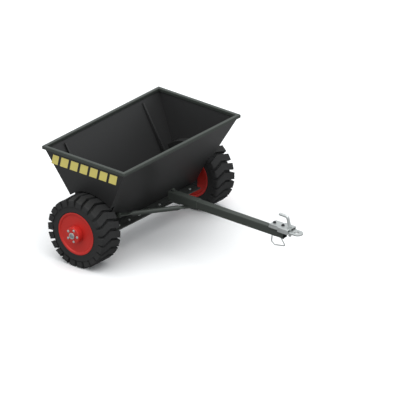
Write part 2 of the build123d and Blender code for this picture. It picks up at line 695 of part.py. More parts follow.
# Diagonal brace from a bracket on the front sheet to the drawbar's underside.
BRACE_X = -343.0
BRACE_FLAT = 6.0
BRACE_OFF_WALL = 20.0      # brace's rear bolt in front of the sheet
BRACKET_PAST_BOLT = 18.0
brace_top = sleeve_bottom
brace_bottom = brace_top - BRACE_FLAT
brace_middle = brace_top - BRACE_FLAT / 2
brace_start_reach = wall_y(brace_top) + BRACE_OFF_WALL
bracket_out = brace_start_reach + BRACKET_PAST_BOLT
brace_dx = -BRACE_X
brace_dy = BRACE_BOLT_REACH - brace_start_reach
brace_length = sqrt(brace_dx ** 2 + brace_dy ** 2)
brace_turn = degrees(atan2(brace_dy, brace_dx))
TAB = 46.0                 # flattened length beyond each bolt
TAB_EDGE = 2.9
brace_dir = Vector(brace_dx, -brace_dy, 0).normalized()
brace_from = Vector(BRACE_X, AXLE_Y - brace_start_reach, brace_middle)
brace_section = Plane(origin=brace_from + brace_dir * TAB, x_dir=(0, 0, 1), z_dir=brace_dir)
flat_plane = Plane(origin=(BRACE_X, AXLE_Y - brace_start_reach, brace_bottom),
                   x_dir=brace_dir, z_dir=(0, 0, 1))
NECK = 30.0
FLAT_WIDTH = 34.0
with BuildPart() as brace:
    with BuildSketch(brace_section.offset(NECK)):
        Circle(BRACE_R)
    extrude(amount=brace_length - 2 * TAB - 2 * NECK)
    with BuildSketch(flat_plane):
        with Locations((0, 0), (brace_length, 0)):
            Circle(FLAT_WIDTH / 2)
        with Locations((TAB / 2, 0), (brace_length - TAB / 2, 0)):
            Rectangle(TAB, FLAT_WIDTH)
    extrude(amount=BRACE_FLAT)
    for start, far in ((0.0, NECK), (brace_length - 2 * TAB, brace_length - 2 * TAB - NECK)):
        with BuildSketch(brace_section.offset(start)):
            RectangleRounded(BRACE_FLAT, FLAT_WIDTH, TAB_EDGE)
        with BuildSketch(brace_section.offset(far)):
            Circle(BRACE_R)
        loft()
    with BuildSketch(flat_plane):
        with Locations((0, 0), (brace_length, 0)):
            Circle(BOLT_R)
    extrude(amount=BRACE_FLAT, mode=Mode.SUBTRACT)
save(brace, "diagonal_brace")

BRACKET_GAUGE = 5.0
BRACKET_WIDTH = 44.0
BRACKET_LEG = 34.0         # part that lies on the sheet
bracket_level = brace_bottom - BRACKET_GAUGE
bracket_root = bracket_level - BRACKET_LEG
leg_gauge = BRACKET_GAUGE * sqrt(1 + WALL_SLOPE ** 2)
with BuildPart() as bracket:
    with BuildSketch(side_plane(BRACE_X + BRACKET_WIDTH / 2)):
        with BuildLine():
            Polyline((wall_y(brace_bottom), brace_bottom), (bracket_out, brace_bottom),
                     (bracket_out, bracket_level),
                     (wall_y(bracket_level) + leg_gauge, bracket_level),
                     (wall_y(bracket_root) + leg_gauge, bracket_root),
                     (wall_y(bracket_root), bracket_root),
                     close=True)
        make_face()
    extrude(amount=BRACKET_WIDTH)
    with BuildSketch(flat_plane):
        Circle(BOLT_R)
    extrude(amount=-2 * BRACKET_GAUGE, mode=Mode.SUBTRACT)
save(bracket, "brace_bracket")

BRACE_HEAD_R = 8.5
BRACE_HEAD_HEIGHT = 7.0
LOW_HEAD_HEIGHT = 4.0
NUT_STACK_R = 10.0         # two nuts, one locking the other
NUT_STACK = 14.0
NUT_CHAMFER = 1.5
bar_floor = BAR_BOTTOM + BAR_GAUGE
bracket_bolt = hex_bolt(brace_top, bracket_level, BOLT_R, BRACE_HEAD_R, BRACE_HEAD_HEIGHT)
brace_bolt = hex_bolt(bar_floor, brace_bottom, BOLT_R, BRACE_HEAD_R, BRACE_HEAD_HEIGHT)
sleeve_bolt = hex_bolt(bar_floor, sleeve_bottom, BOLT_R, HEAD_R, LOW_HEAD_HEIGHT)
with BuildPart() as bar_bolts:
    with Locations((BRACE_X, AXLE_Y - brace_start_reach, 0)):
        add(bracket_bolt)
    with Locations((0, AXLE_Y - BRACE_BOLT_REACH, 0)):
        add(brace_bolt)
    with Locations((0, AXLE_Y - SLEEVE_BOLT_REACH, 0)):
        add(sleeve_bolt)
    with BuildSketch(Plane(origin=(0, AXLE_Y - REAR_BOLT_REACH, sleeve_top))):
        RegularPolygon(NUT_STACK_R, 6)
    extrude(amount=NUT_STACK)
    chamfer(bar_bolts.faces().sort_by(Axis.Z)[-1].edges(), NUT_CHAMFER)
    with BuildSketch(Plane(origin=(0, AXLE_Y - REAR_BOLT_REACH, pad_bottom))):
        Circle(BOLT_R)
    extrude(amount=sleeve_top - pad_bottom)
save(bar_bolts, "drawbar_bolts")

# ---------------------------------------------------------------- hitch
TONGUE_PAST_BOLT = 18.0
HITCH_HOLE_R = 6.0
tongue_back = HITCH_BOLT_REACHES[0] - TONGUE_PAST_BOLT
nose_middle = NOSE_REACH - TONGUE_WIDTH / 2
with BuildPart() as tongue:
    with BuildSketch(level_plane(BAR_TOP)):
        with Locations((0, -(tongue_back + nose_middle) / 2)):
            Rectangle(TONGUE_WIDTH, nose_middle - tongue_back)
        with Locations((0, -nose_middle)):
            Circle(TONGUE_WIDTH / 2)
        with Locations([(0, -reach) for reach in HITCH_BOLT_REACHES]):
            Circle(HITCH_HOLE_R, mode=Mode.SUBTRACT)
        with Locations((0, -PIN_REACH)):
            Circle(HITCH_PIN_R + CLEARANCE, mode=Mode.SUBTRACT)
        with Locations((0, -EYE_REACH)):
            Circle(EYE_R, mode=Mode.SUBTRACT)
    extrude(amount=TONGUE_GAUGE)
save(tongue, "tongue_plate")

CLEVIS_SET_BACK = 4.0      # behind the tongue's rear edge
CLEVIS_PAST_BOLT = 12.0
CLEVIS_PAST_PIN = 13.0
CLEVIS_WIDTH = TONGUE_WIDTH + 13.0
CLEVIS_NECK = TONGUE_WIDTH - 2.0
SPACER_WIDTH = TONGUE_WIDTH - 4.0
FLANGE_BELOW = 6.0         # side flanges below the drawbar's top
clevis_back = tongue_back + CLEVIS_SET_BACK
clevis_step = HITCH_BOLT_REACHES[1] - CLEVIS_PAST_BOLT
clevis_front = PIN_REACH + CLEVIS_PAST_PIN
spacer_front = HITCH_BOLT_REACHES[1] + CLEVIS_PAST_BOLT
flange_bottom = BAR_TOP - FLANGE_BELOW
with BuildPart() as spacer:
    with BuildSketch(level_plane(TONGUE_TOP)):
        with Locations((0, -(clevis_back + spacer_front) / 2)):
            Rectangle(SPACER_WIDTH, spacer_front - clevis_back)
        with Locations([(0, -reach) for reach in HITCH_BOLT_REACHES]):
            Circle(HITCH_HOLE_R, mode=Mode.SUBTRACT)
    extrude(amount=CLEVIS_GAP)
save(spacer, "hitch_spacer")

with BuildPart() as clevis:
    with BuildSketch(level_plane(CLEVIS_LOW)):
        with Locations((0, -(clevis_back + clevis_step) / 2)):
            Rectangle(CLEVIS_NECK, clevis_step - clevis_back)
        with Locations((0, -(clevis_step + clevis_front) / 2)):
            Rectangle(CLEVIS_WIDTH, clevis_front - clevis_step)
    extrude(amount=CLEVIS_GAUGE)
    with BuildSketch(level_plane(flange_bottom)):
        for _, side in SIDES:
            flange_x = side * (CLEVIS_WIDTH - CLEVIS_GAUGE) / 2
            with Locations((flange_x, -(clevis_step + clevis_front) / 2)):
                Rectangle(CLEVIS_GAUGE, clevis_front - clevis_step)
    extrude(amount=CLEVIS_LOW - flange_bottom)
    with BuildSketch(level_plane(CLEVIS_LOW)):
        with Locations([(0, -reach) for reach in HITCH_BOLT_REACHES]):
            Circle(HITCH_HOLE_R)
        with Locations((0, -PIN_REACH)):
            Circle(HITCH_PIN_R + CLEARANCE)
    extrude(amount=CLEVIS_GAUGE, mode=Mode.SUBTRACT)
save(clevis, "hitch_clevis")

# Chain stirrup: one bent round bar welded under the drawbar, in the machine's middle plane.
STIRRUP_R = 3.5
STIRRUP_BEND = 7.0
STIRRUP_DROP = 64.0
STIRRUP_LENGTH = 54.0      # along the drawbar, between its two welds
STIRRUP_FROM_BOLT = 16.0
ABOVE_WELD = 5.0           # rod drawn past the tube's underside, then cut level with it
HEEL_RISE = 18.0           # the low run climbs from its heel to its toe
HEEL_BACK = 6.0
HEEL_FRONT = 16.0
TOE_RISE = 15.0
TOE_AHEAD = 41.0
stirrup_low = BAR_BOTTOM - STIRRUP_DROP
stirrup_back = HITCH_BOLT_REACHES[0] - STIRRUP_FROM_BOLT
stirrup_front = stirrup_back + STIRRUP_LENGTH
stirrup_weld = BAR_BOTTOM + ABOVE_WELD
stirrup_start = Plane(
    origin=(0, AXLE_Y - stirrup_back, stirrup_weld),
    z_dir=(0, HEEL_BACK, stirrup_low + HEEL_RISE - stirrup_weld))
with BuildPart() as stirrup:
    with BuildLine(side_plane(0)):
        FilletPolyline(
            (stirrup_back, stirrup_weld), (stirrup_back - HEEL_BACK, stirrup_low + HEEL_RISE),
            (stirrup_back + HEEL_FRONT, stirrup_low),
            (stirrup_front + TOE_AHEAD, stirrup_low + TOE_RISE),
            (stirrup_front, stirrup_weld), radius=STIRRUP_BEND)
    with BuildSketch(stirrup_start):
        Circle(STIRRUP_R)
    sweep()
    with BuildSketch(level_plane(BAR_BOTTOM)):
        Rectangle(BAR_WIDTH, 4 * BAR_END)
    extrude(amount=BAR_HEIGHT, mode=Mode.SUBTRACT)
save(stirrup, "chain_stirrup")

HITCH_HEAD_R = 9.0
HITCH_HEAD_HEIGHT = 7.0
hitch_bolt = hex_bolt(CLEVIS_TOP, BAR_BOTTOM, BOLT_R, HITCH_HEAD_R, HITCH_HEAD_HEIGHT)
with BuildPart() as hitch_bolts:
    with Locations([(0, AXLE_Y - reach, 0) for reach in HITCH_BOLT_REACHES]):
        add(hitch_bolt)
save(hitch_bolts, "hitch_bolts")

PIN_COLLAR_R = 13.0
PIN_COLLAR_HEIGHT = 5.0
PIN_TIP_CHAMFER = 2.0
PIN_BELOW = 30.0           # tip below the drawbar's top
PIN_RISE = 62.0
PIN_LEAN = 17.0
PIN_HANDLE = 58.0
PIN_BEND = 13.0
HANDLE_START = (4.0, 14.0) # first bend: distance back, and height above the collar
HANDLE_ROOT = 4.0
HANDLE_CLIMB = 2.0
pin_bottom = BAR_TOP - PIN_BELOW
pin_collar = CLEVIS_TOP + CLEARANCE
handle_root = pin_collar + HANDLE_ROOT
with BuildPart() as hitch_pin:
    with BuildSketch(Plane(origin=(0, AXLE_Y - PIN_REACH, pin_bottom))):
        Circle(HITCH_PIN_R)
    extrude(amount=pin_collar - pin_bottom)
    chamfer(hitch_pin.faces().sort_by(Axis.Z)[0].edges(), PIN_TIP_CHAMFER)
    with BuildSketch(Plane(origin=(0, AXLE_Y - PIN_REACH, pin_collar))):
        Circle(PIN_COLLAR_R)
    extrude(amount=PIN_COLLAR_HEIGHT)
    with BuildLine(side_plane(0)):
        FilletPolyline(
            (PIN_REACH, handle_root),
            (PIN_REACH - HANDLE_START[0], pin_collar + HANDLE_START[1]),
            (PIN_REACH - PIN_LEAN, pin_collar + PIN_RISE),
            (PIN_REACH - PIN_LEAN - PIN_HANDLE, pin_collar + PIN_RISE + HANDLE_CLIMB),
            radius=PIN_BEND)
    with BuildSketch(Plane(origin=(0, AXLE_Y - PIN_REACH, handle_root),
                           z_dir=(0, HANDLE_START[0], HANDLE_START[1] - HANDLE_ROOT))):
        Circle(HITCH_PIN_R)
    sweep()
save(hitch_pin, "hitch_pin")

# ---------------------------------------------------------------- gate lever
half_swing = degrees(atan2(GATE_TRAVEL / 2, sqrt(LEVER_ARM ** 2 - (GATE_TRAVEL / 2) ** 2)))
LEVER_GAUGE = 6.0
LUG_GAUGE = 6.0
PIVOT_R = 5.0
GATE_PIN_R = 4.0
LEVER_LEAN = 50.0          # handle's angle from upright with the gate shut
PIVOT_BACK = 28.0          # behind the rear base plate
PIVOT_RISE = 54.0          # above it
LEVER_BOSS_R = 14.0
LEVER_PIN_BOSS_R = 9.0
LEVER_TIP_R = 9.0
GATE_PIN_PROUD = 2.0
pivot_reach = -(BASE_EDGE + PIVOT_BACK)
pivot_z = BASE_TOP + PIVOT_RISE
pin_reach = pivot_reach + LEVER_ARM * sin(radians(half_swing))
gate_pin_z = pivot_z - LEVER_ARM * cos(radians(half_swing))
CLAMP_RADIUS = 90.0


def on_lever(distance, lean):
    """Point at a distance from the lever's pivot, leaning back from upright."""
    return (pivot_reach - distance * sin(radians(lean)), pivot_z + distance * cos(radians(lean)))


clamp_shut = on_lever(CLAMP_RADIUS, LEVER_LEAN)
clamp_open = on_lever(CLAMP_RADIUS, LEVER_LEAN - 2 * half_swing)
lever_out = LEVER_X + LEVER_GAUGE
quadrant_face = lever_out + CLEARANCE
QUADRANT_GAUGE = 5.0
QUADRANT_BOSS_R = 20.0
QUADRANT_EDGE_R = 16.0     # plate round the ends of the clamp's slot
QUADRANT_FOOT = 52.0
QUADRANT_FOOT_HEIGHT = 2.0
FOOT_FLANGE = 28.0
FOOT_FLANGE_DEPTH = 22.0
FLANGE_FROM_EDGE = 15.0
KNOB_R = 16.0
KNOB_HEIGHT = 20.0
KNOB_LOBES = 6
KNOB_LOBE_R = 5.0
KNOB_CORE_R = KNOB_R - 3.0
quadrant_out = quadrant_face + QUADRANT_GAUGE

with BuildPart() as quadrant:
    with BuildSketch(side_plane(quadrant_out)):
        with Locations((pivot_reach, pivot_z)):
            Circle(QUADRANT_BOSS_R)
        with Locations(clamp_shut, clamp_open):
            Circle(QUADRANT_EDGE_R)
        with Locations((QUADRANT_FOOT / 2 - BASE_EDGE, BASE_TOP + QUADRANT_FOOT_HEIGHT / 2)):
            Rectangle(QUADRANT_FOOT, QUADRANT_FOOT_HEIGHT)
        make_hull()
        with Locations((pivot_reach, pivot_z)):
            Circle(PIVOT_R, mode=Mode.SUBTRACT)
    extrude(amount=QUADRANT_GAUGE)
    with BuildSketch(side_plane(quadrant_out)):
        with BuildLine():
            CenterArc((pivot_reach, pivot_z), CLAMP_RADIUS, 90 + LEVER_LEAN - 2 * half_swing,
                      2 * half_swing)
        trace(line_width=2 * (BOLT_R + CLEARANCE))
        with Locations(clamp_shut, clamp_open):
            Circle(BOLT_R + CLEARANCE)
    extrude(amount=QUADRANT_GAUGE, mode=Mode.SUBTRACT)
    with BuildSketch(level_plane(BASE_TOP)):
        with Locations((quadrant_face + FOOT_FLANGE / 2, BASE_EDGE - FLANGE_FROM_EDGE)):
            Rectangle(FOOT_FLANGE, FOOT_FLANGE_DEPTH)
    extrude(amount=QUADRANT_GAUGE)
save(quadrant, "gate_quadrant")

with BuildPart() as lever:
    with BuildSketch(side_plane(lever_out)):
        with Locations((pivot_reach, pivot_z)):
            Circle(LEVER_BOSS_R)
        with Locations((pin_reach, gate_pin_z)):
            Circle(LEVER_PIN_BOSS_R)
        make_hull()
    extrude(amount=LEVER_GAUGE)
    with BuildSketch(side_plane(lever_out)):
        with Locations((pivot_reach, pivot_z)):
            Circle(LEVER_BOSS_R)
        with Locations(on_lever(LEVER_LENGTH - LEVER_TIP_R - 1, LEVER_LEAN)):
            Circle(LEVER_TIP_R)
        make_hull()
    extrude(amount=LEVER_GAUGE)
    with BuildSketch(side_plane(lever_out)):
        with Locations((pivot_reach, pivot_z)):
            Circle(PIVOT_R + RUNNING_FIT)
        with Locations(clamp_shut):
            Circle(BOLT_R)
    extrude(amount=LEVER_GAUGE, mode=Mode.SUBTRACT)
    with BuildSketch(side_plane(LEVER_X)):
        with Locations((pin_reach, gate_pin_z)):
            Circle(GATE_PIN_R)
    extrude(amount=CLEARANCE + LUG_GAUGE + GATE_PIN_PROUD)
save(lever, "gate_lever")

GRIP_R = 13.0
GRIP_ROUNDING = 4.0
GRIP_FROM_KNOB = 4.0
clamp_clear = CLAMP_RADIUS + KNOB_R + GRIP_FROM_KNOB
grip_forward, grip_z = on_lever(clamp_clear, LEVER_LEAN)
grip_plane = Plane(
    origin=(LEVER_X + LEVER_GAUGE / 2, AXLE_Y - grip_forward, grip_z),
    z_dir=(0, sin(radians(LEVER_LEAN)), cos(radians(LEVER_LEAN))))
with BuildPart() as grip:
    with BuildSketch(grip_plane):
        Circle(GRIP_R)
    extrude(amount=LEVER_LENGTH - clamp_clear)
    fillet(grip.edges().filter_by(GeomType.CIRCLE), GRIP_ROUNDING)
    add(lever.part, mode=Mode.SUBTRACT)
save(grip, "lever_grip")

PIVOT_HEAD_R = 9.0
PIVOT_HEAD_HEIGHT = 6.0
PIVOT_NUT_HEIGHT = 8.0
pivot_head = LEVER_X - CLEARANCE
pivot_end = quadrant_out + PIVOT_NUT_HEIGHT
with BuildPart() as pivot_bolt:
    for start, height in ((pivot_head, PIVOT_HEAD_HEIGHT), (pivot_end, PIVOT_NUT_HEIGHT)):
        with BuildSketch(side_plane(start)):
            with Locations((pivot_reach, pivot_z)):
                RegularPolygon(PIVOT_HEAD_R, 6)
        extrude(amount=height)
    with BuildSketch(side_plane(pivot_end)):
        with Locations((pivot_reach, pivot_z)):
            Circle(PIVOT_R)
    extrude(amount=pivot_end - pivot_head)
save(pivot_bolt, "lever_pivot_bolt")

knob_face = quadrant_out + CLEARANCE
with BuildPart() as knob:
    with BuildSketch(side_plane(knob_face + KNOB_HEIGHT)):
        with Locations(clamp_shut):
            Circle(KNOB_CORE_R)
            with PolarLocations(KNOB_R - KNOB_LOBE_R, KNOB_LOBES):
                Circle(KNOB_LOBE_R)
    extrude(amount=KNOB_HEIGHT)
    with BuildSketch(side_plane(knob_face)):
        with Locations(clamp_shut):
            Circle(BOLT_R)
    extrude(amount=knob_face - LEVER_X)
save(knob, "clamp_knob")

# The gate's lug stands behind the rear base plate; the lever's pin works in its upright slot.
LUG_DEPTH = 26.0
lug_x = LEVER_X - CLEARANCE
LUG_ABOVE_PIN = 14.0
LUG_SLOT = 18.0
SLOT_SPARE = 2.0
lug_top = gate_pin_z + LUG_ABOVE_PIN
gate_back = LUG_DEPTH / 2 - pin_reach
slot_width = 2 * (BOLT_R + CLEARANCE)
slot_length = GATE_TRAVEL + slot_width + SLOT_SPARE
slot_middle = LIP_BOLT_Y - GATE_TRAVEL / 2
with BuildPart() as gate:
    with BuildSketch(level_plane(gate_bottom)):
        with Locations((0, (gate_front + gate_back) / 2)):
            Rectangle(GATE_LENGTH, gate_back - gate_front)
        with Locations([(x, slot_middle) for x in lip_bolt_x]):
            SlotOverall(slot_length, slot_width, rotation=90, mode=Mode.SUBTRACT)
    extrude(amount=GATE_GAUGE)
    with BuildSketch(side_plane(lug_x)):
        with Locations((pin_reach, (gate_top + lug_top) / 2)):
            Rectangle(LUG_DEPTH, lug_top - gate_top)
        with Locations((pin_reach, gate_pin_z)):
            SlotOverall(
                LUG_SLOT, 2 * (GATE_PIN_R + CLEARANCE), rotation=90, mode=Mode.SUBTRACT)
    extrude(amount=LUG_GAUGE)
save(gate, "metering_gate")

# ---------------------------------------------------------------- marker blocks on the end sheets
MARK_COUNT = 7
MARK_PITCH = 71.2
MARK_WIDTH = 56.0
MARK_HIGH = 19.0           # below the underside of the top frame
MARK_DROP = 67.0
MARK_LEAN = 24.0
MARK_GAUGE = 0.6
MARK_SHIFT = 7.0           # the row sits forward of the middle
mark_top = FRAME_BOTTOM - MARK_HIGH
mark_low = mark_top - MARK_DROP
with BuildPart() as marks:
    with BuildSketch(side_plane(HOPPER_LENGTH / 2)):
        for i in range(MARK_COUNT):
            start = (i - MARK_COUNT / 2) * MARK_PITCH + MARK_SHIFT
            with BuildLine():
                Polyline((start, mark_top), (start + MARK_WIDTH, mark_top),
                         (start + MARK_WIDTH - MARK_LEAN, mark_low),
                         (start - MARK_LEAN, mark_low), close=True)
            make_face()
    extrude(amount=HOPPER_LENGTH)
    add(tapered_block(WALL_LOW_X + MARK_GAUGE, WALL_LOW_Y - SHEET, WALL_TOP_X + MARK_GAUGE,
                      WALL_TOP_Y - SHEET), mode=Mode.INTERSECT)
    add(hopper_outside, mode=Mode.SUBTRACT)
save(marks, "marker_blocks")
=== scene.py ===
"""Looks of a towed drop spreader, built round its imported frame. Metres; left is -X, forward is -Y."""
from math import cos, pi, radians, sin, sqrt, tau

import bmesh
import bpy
from bpy.props import FloatProperty, FloatVectorProperty, IntProperty, PointerProperty
from mathutils import Matrix, Vector


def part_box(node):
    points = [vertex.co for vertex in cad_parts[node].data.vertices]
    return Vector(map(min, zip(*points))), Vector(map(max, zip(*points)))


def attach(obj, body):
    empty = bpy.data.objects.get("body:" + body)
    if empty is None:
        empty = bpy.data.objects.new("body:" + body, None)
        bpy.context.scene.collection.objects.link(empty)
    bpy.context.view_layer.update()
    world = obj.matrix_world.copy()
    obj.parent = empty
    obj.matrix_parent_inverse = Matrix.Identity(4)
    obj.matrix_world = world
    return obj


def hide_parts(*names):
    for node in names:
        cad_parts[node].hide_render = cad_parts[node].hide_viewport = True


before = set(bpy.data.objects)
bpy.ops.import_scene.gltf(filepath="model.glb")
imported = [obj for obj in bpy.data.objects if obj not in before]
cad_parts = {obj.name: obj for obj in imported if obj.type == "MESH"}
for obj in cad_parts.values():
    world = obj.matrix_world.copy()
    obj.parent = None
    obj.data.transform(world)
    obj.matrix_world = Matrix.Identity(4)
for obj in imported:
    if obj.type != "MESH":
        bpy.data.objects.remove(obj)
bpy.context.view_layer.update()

bl_info = {
    "name": "Towed Drop Spreader",
    "version": (1, 0, 0),
    "blender": (4, 5, 0),
    "location": "View3D > Sidebar > Spreader",
    "description": "Builds the visible pieces and finishes of a towed drop spreader",
    "category": "Object",
}

SIDES = (("left", -1), ("right", 1))
MERGE = 1e-5

# ---------------------------------------------------------------- places, from the frame
tyre_low, tyre_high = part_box("left_tyre")
TYRE_R = (tyre_high.z - tyre_low.z) / 2
AXLE = Vector((0, (tyre_low.y + tyre_high.y) / 2, TYRE_R))
WHEEL_X = -(tyre_low.x + tyre_high.x) / 2
TYRE_HALF = 0.080
TREAD_DEPTH = 0.019
FIRST_GROOVE = 0.0172       # how far behind the top of the tyre its first groove lies
hub_low, hub_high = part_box("left_hub")
HUB_R = (hub_high.z - hub_low.z) / 2
DISC = TYRE_HALF - 0.012
INNER_DISC = 0.058          # wheel's middle to the closing disc's face on the machine's side
INNER_DISC_GAUGE = 0.004
INNER_DISC_BORE = 0.032
DISC_GAUGE = 0.004
SHOULDER = 0.009            # width over which the tread falls away
SHOULDER_FALL = 0.007
LUG_SINK = 0.003            # lugs go this far under the tread grooves' floor
LUG_END_FALL = 0.016        # how much lower a lug's foot is at its ends
LUG_END_FROM = 0.058
FILM_LEAN = 0.024
FILM_GAUGE = 0.0006


# ---------------------------------------------------------------- settings
def colour(name, description, red, green, blue):
    """A linear colour that the user may change."""
    return FloatVectorProperty(
        name=name, description=description, default=(red, green, blue),
        subtype="COLOR", size=3, min=0, max=1)


def length(name, description, metres):
    """A length that the user may change."""
    return FloatProperty(
        name=name, description=description, default=metres, unit="LENGTH", subtype="DISTANCE",
        precision=4)


class SpreaderFinishes(bpy.types.PropertyGroup):
    """Colours of the finishes."""
    hopper: colour("Hopper paint", "Charcoal paint of the hopper's sheets", .021, .024, .0215)
    trim: colour("Frame paint", "Charcoal paint of the frame, plates and drawbar", .098, .110, .094)
    # Hopper inside is painted sky light: a paler, bluer colour for the sheets' upward faces that stands in
    # for light falling on them, not wear.
    inside: colour("Hopper inside", "Worn, paler inside of the hopper's sheets", .085, .099, .106)
    wheel: colour("Wheel enamel", "Red enamel of the discs and hubs", .82, .030, .030)
    rubber: colour("Rubber", "Tyres and sealing lips", .017, .019, .018)
    zinc: colour("Zinc plate", "Bright fasteners", .56, .58, .56)
    galvanised: colour("Galvanised steel", "Hitch plates and pin", .40, .42, .405)
    film: colour("Marker film", "Yellow blocks on the end sheets", .97, .90, .38)
    dust: colour("Dust", "Dry dust that settles on ledges and in the tread", .20, .19, .165)


class SpreaderSizes(bpy.types.PropertyGroup):
    """Sizes of the visible details."""
    lugs: IntProperty(name="Lugs", description="Chevron lugs round each tyre", default=22, min=8, max=40)
    lug_rise: length("Lug sweep", "How far a lug's point trails behind its ends", .025)
    lug_length: length("Lug length", "Length of a lug round the tread", .0430)
    lug_rounding: length("Lug rounding", "Rounding of a lug's edges", .0022)
    tube_rounding: length("Tube rounding", "Corner radius of the top frame's tubes", .0024)
    plate_rounding: length("Plate rounding", "Rounding of cut plate edges", .0007)
    bead: length("Weld bead", "Radius of the weld beads", .0030)
    film_border: length("Film border", "Dark border of the marker blocks", .0009)


class SpreaderStage(bpy.types.PropertyGroup):
    """Camera and light."""
    azimuth: FloatProperty(
        name="Azimuth", description="Camera's turn from straight ahead",
        default=radians(-50.57), subtype="ANGLE")
    elevation: FloatProperty(
        name="Elevation", description="Camera's height angle", default=radians(24.86), subtype="ANGLE")
    width: length("View width", "Width that the camera takes in", 2.266)
    aim: FloatVectorProperty(
        name="Aim", description="Point in the middle of the view", default=(0, .0082, .3343),
        subtype="TRANSLATION", unit="LENGTH")
    key: FloatProperty(name="Key light", description="Strength of the overhead light", default=2.0)
    spread: FloatProperty(
        name="Key spread", description="How wide the overhead light is",
        default=radians(72), subtype="ANGLE")
    sky: FloatProperty(name="Sky", description="Strength of the even light all round", default=.80)
    floor: FloatProperty(name="Floor", description="Lightness of the floor in view", default=.95)
    bounce: FloatProperty(
        name="Bounce", description="Lightness of the floor to the other rays", default=.30)


# ---------------------------------------------------------------- node trees
def add_node(tree, kind, inputs=None, **attributes):
    """A node with its attributes set and its inputs linked or given values."""
    made = tree.nodes.new(kind)
    for name, value in attributes.items():
        setattr(made, name, value)
    for socket, value in (inputs or {}).items():
        if isinstance(value, bpy.types.NodeSocket):
            tree.links.new(value, made.inputs[socket])
        else:
            made.inputs[socket].default_value = value
    return made


def new_group(name, inputs, outputs):
    """A shader node group with named sockets; returns the tree, its input node and its output node."""
    tree = bpy.data.node_groups.new(name, "ShaderNodeTree")
    for label, kind, value in inputs:
        socket = tree.interface.new_socket(name=label, in_out="INPUT", socket_type=kind)
        if value is not None:
            socket.default_value = value
    for label, kind in outputs:
        tree.interface.new_socket(name=label, in_out="OUTPUT", socket_type=kind)
    return tree, tree.nodes.new("NodeGroupInput"), tree.nodes.new("NodeGroupOutput")


def mix_colours(tree, factor, first, second):
    """Colour socket of a mix of two colours."""
    return add_node(tree, "ShaderNodeMix", {0: factor, 6: first, 7: second}, data_type="RGBA").outputs[2]


def spread(tree, value, low, high, from_low=0.0, from_high=1.0):
    """Value socket of a range mapped onto another."""
    inputs = {0: value, 1: from_low, 2: from_high, 3: low, 4: high}
    return add_node(tree, "ShaderNodeMapRange", inputs).outputs[0]


def maths(tree, operation, first, second):
    """Value socket of two values joined."""
    return add_node(tree, "ShaderNodeMath", {0: first, 1: second}, operation=operation).outputs[0]


def noise(tree, vector, scale, detail=3.0, roughness=.55):
    """Value socket of a noise pattern."""
    inputs = {"Vector": vector, "Scale": scale, "Detail": detail, "Roughness": roughness}
    return add_node(tree, "ShaderNodeTexNoise", inputs).outputs[0]


FLOAT, COLOUR, VECTOR = "NodeSocketFloat", "NodeSocketColor", "NodeSocketVector"


def coat_group():
    """Sprayed or moulded coat: slow colour drift, orange peel and rubbed patches."""
    tree, given, out = new_group(
        "Coat",
        [("Vector", VECTOR, None), ("Colour", COLOUR, (.1, .1, .1, 1)), ("Drift", FLOAT, .2),
         ("Patch Scale", FLOAT, 6.0), ("Grain Scale", FLOAT, 700.0), ("Gloss", FLOAT, .5),
         ("Rub", FLOAT, .1)],
        [("Colour", COLOUR), ("Roughness", FLOAT), ("Height", FLOAT)])
    vector = given.outputs["Vector"]
    patches = noise(tree, vector, given.outputs["Patch Scale"])
    grain = noise(tree, vector, given.outputs["Grain Scale"], 2.0)
    strokes = add_node(tree, "ShaderNodeMapping", {"Vector": vector, "Scale": (3.0, 1.0, .35)}).outputs[0]
    rubbed = spread(tree, noise(tree, strokes, 55.0, 5.0, .7), 0, 1, .56, .74)
    drift = maths(tree, "MULTIPLY", spread(tree, patches, -1, 1, .3, .7), given.outputs["Drift"])
    lightness = maths(tree, "ADD", maths(tree, "MULTIPLY", rubbed, given.outputs["Rub"]),
                      maths(tree, "ADD", drift, 1.0))
    toned = add_node(tree, "ShaderNodeHueSaturation", {
        "Color": given.outputs["Colour"], "Value": lightness})
    rough = maths(tree, "ADD", given.outputs["Gloss"], spread(tree, patches, -.07, .07, .3, .7))
    rough = maths(tree, "ADD", rough, maths(tree, "MULTIPLY", rubbed, .08))
    tree.links.new(toned.outputs[0], out.inputs["Colour"])
    tree.links.new(rough, out.inputs["Roughness"])
    tree.links.new(grain, out.inputs["Height"])
    return tree


def dust_group():
    """Dust on faces that look up, thicker in drifts."""
    tree, given, out = new_group(
        "Dust",
        [("Vector", VECTOR, None), ("Colour", COLOUR, (.1, .1, .1, 1)), ("Roughness", FLOAT, .5),
         ("Dust", COLOUR, (.2, .2, .2, 1)), ("Amount", FLOAT, .3), ("All Round", FLOAT, .1)],
        [("Colour", COLOUR), ("Roughness", FLOAT)])
    facing = add_node(tree, "ShaderNodeNewGeometry").outputs["Normal"]
    upward = add_node(tree, "ShaderNodeSeparateXYZ", {0: facing}).outputs[2]
    lying = maths(tree, "MAXIMUM", spread(tree, upward, 0, 1, .25, .95), given.outputs["All Round"])
    drifts = spread(tree, noise(tree, given.outputs["Vector"], 16.0, 6.0, .65), .25, 1, .35, .68)
    cover = maths(tree, "MULTIPLY", maths(tree, "MULTIPLY", lying, drifts), given.outputs["Amount"])
    dusty = mix_colours(tree, cover, given.outputs["Colour"], given.outputs["Dust"])
    matt = maths(tree, "ADD", given.outputs["Roughness"], maths(tree, "MULTIPLY", cover, .5))
    tree.links.new(dusty, out.inputs["Colour"])
    tree.links.new(matt, out.inputs["Roughness"])
    return tree


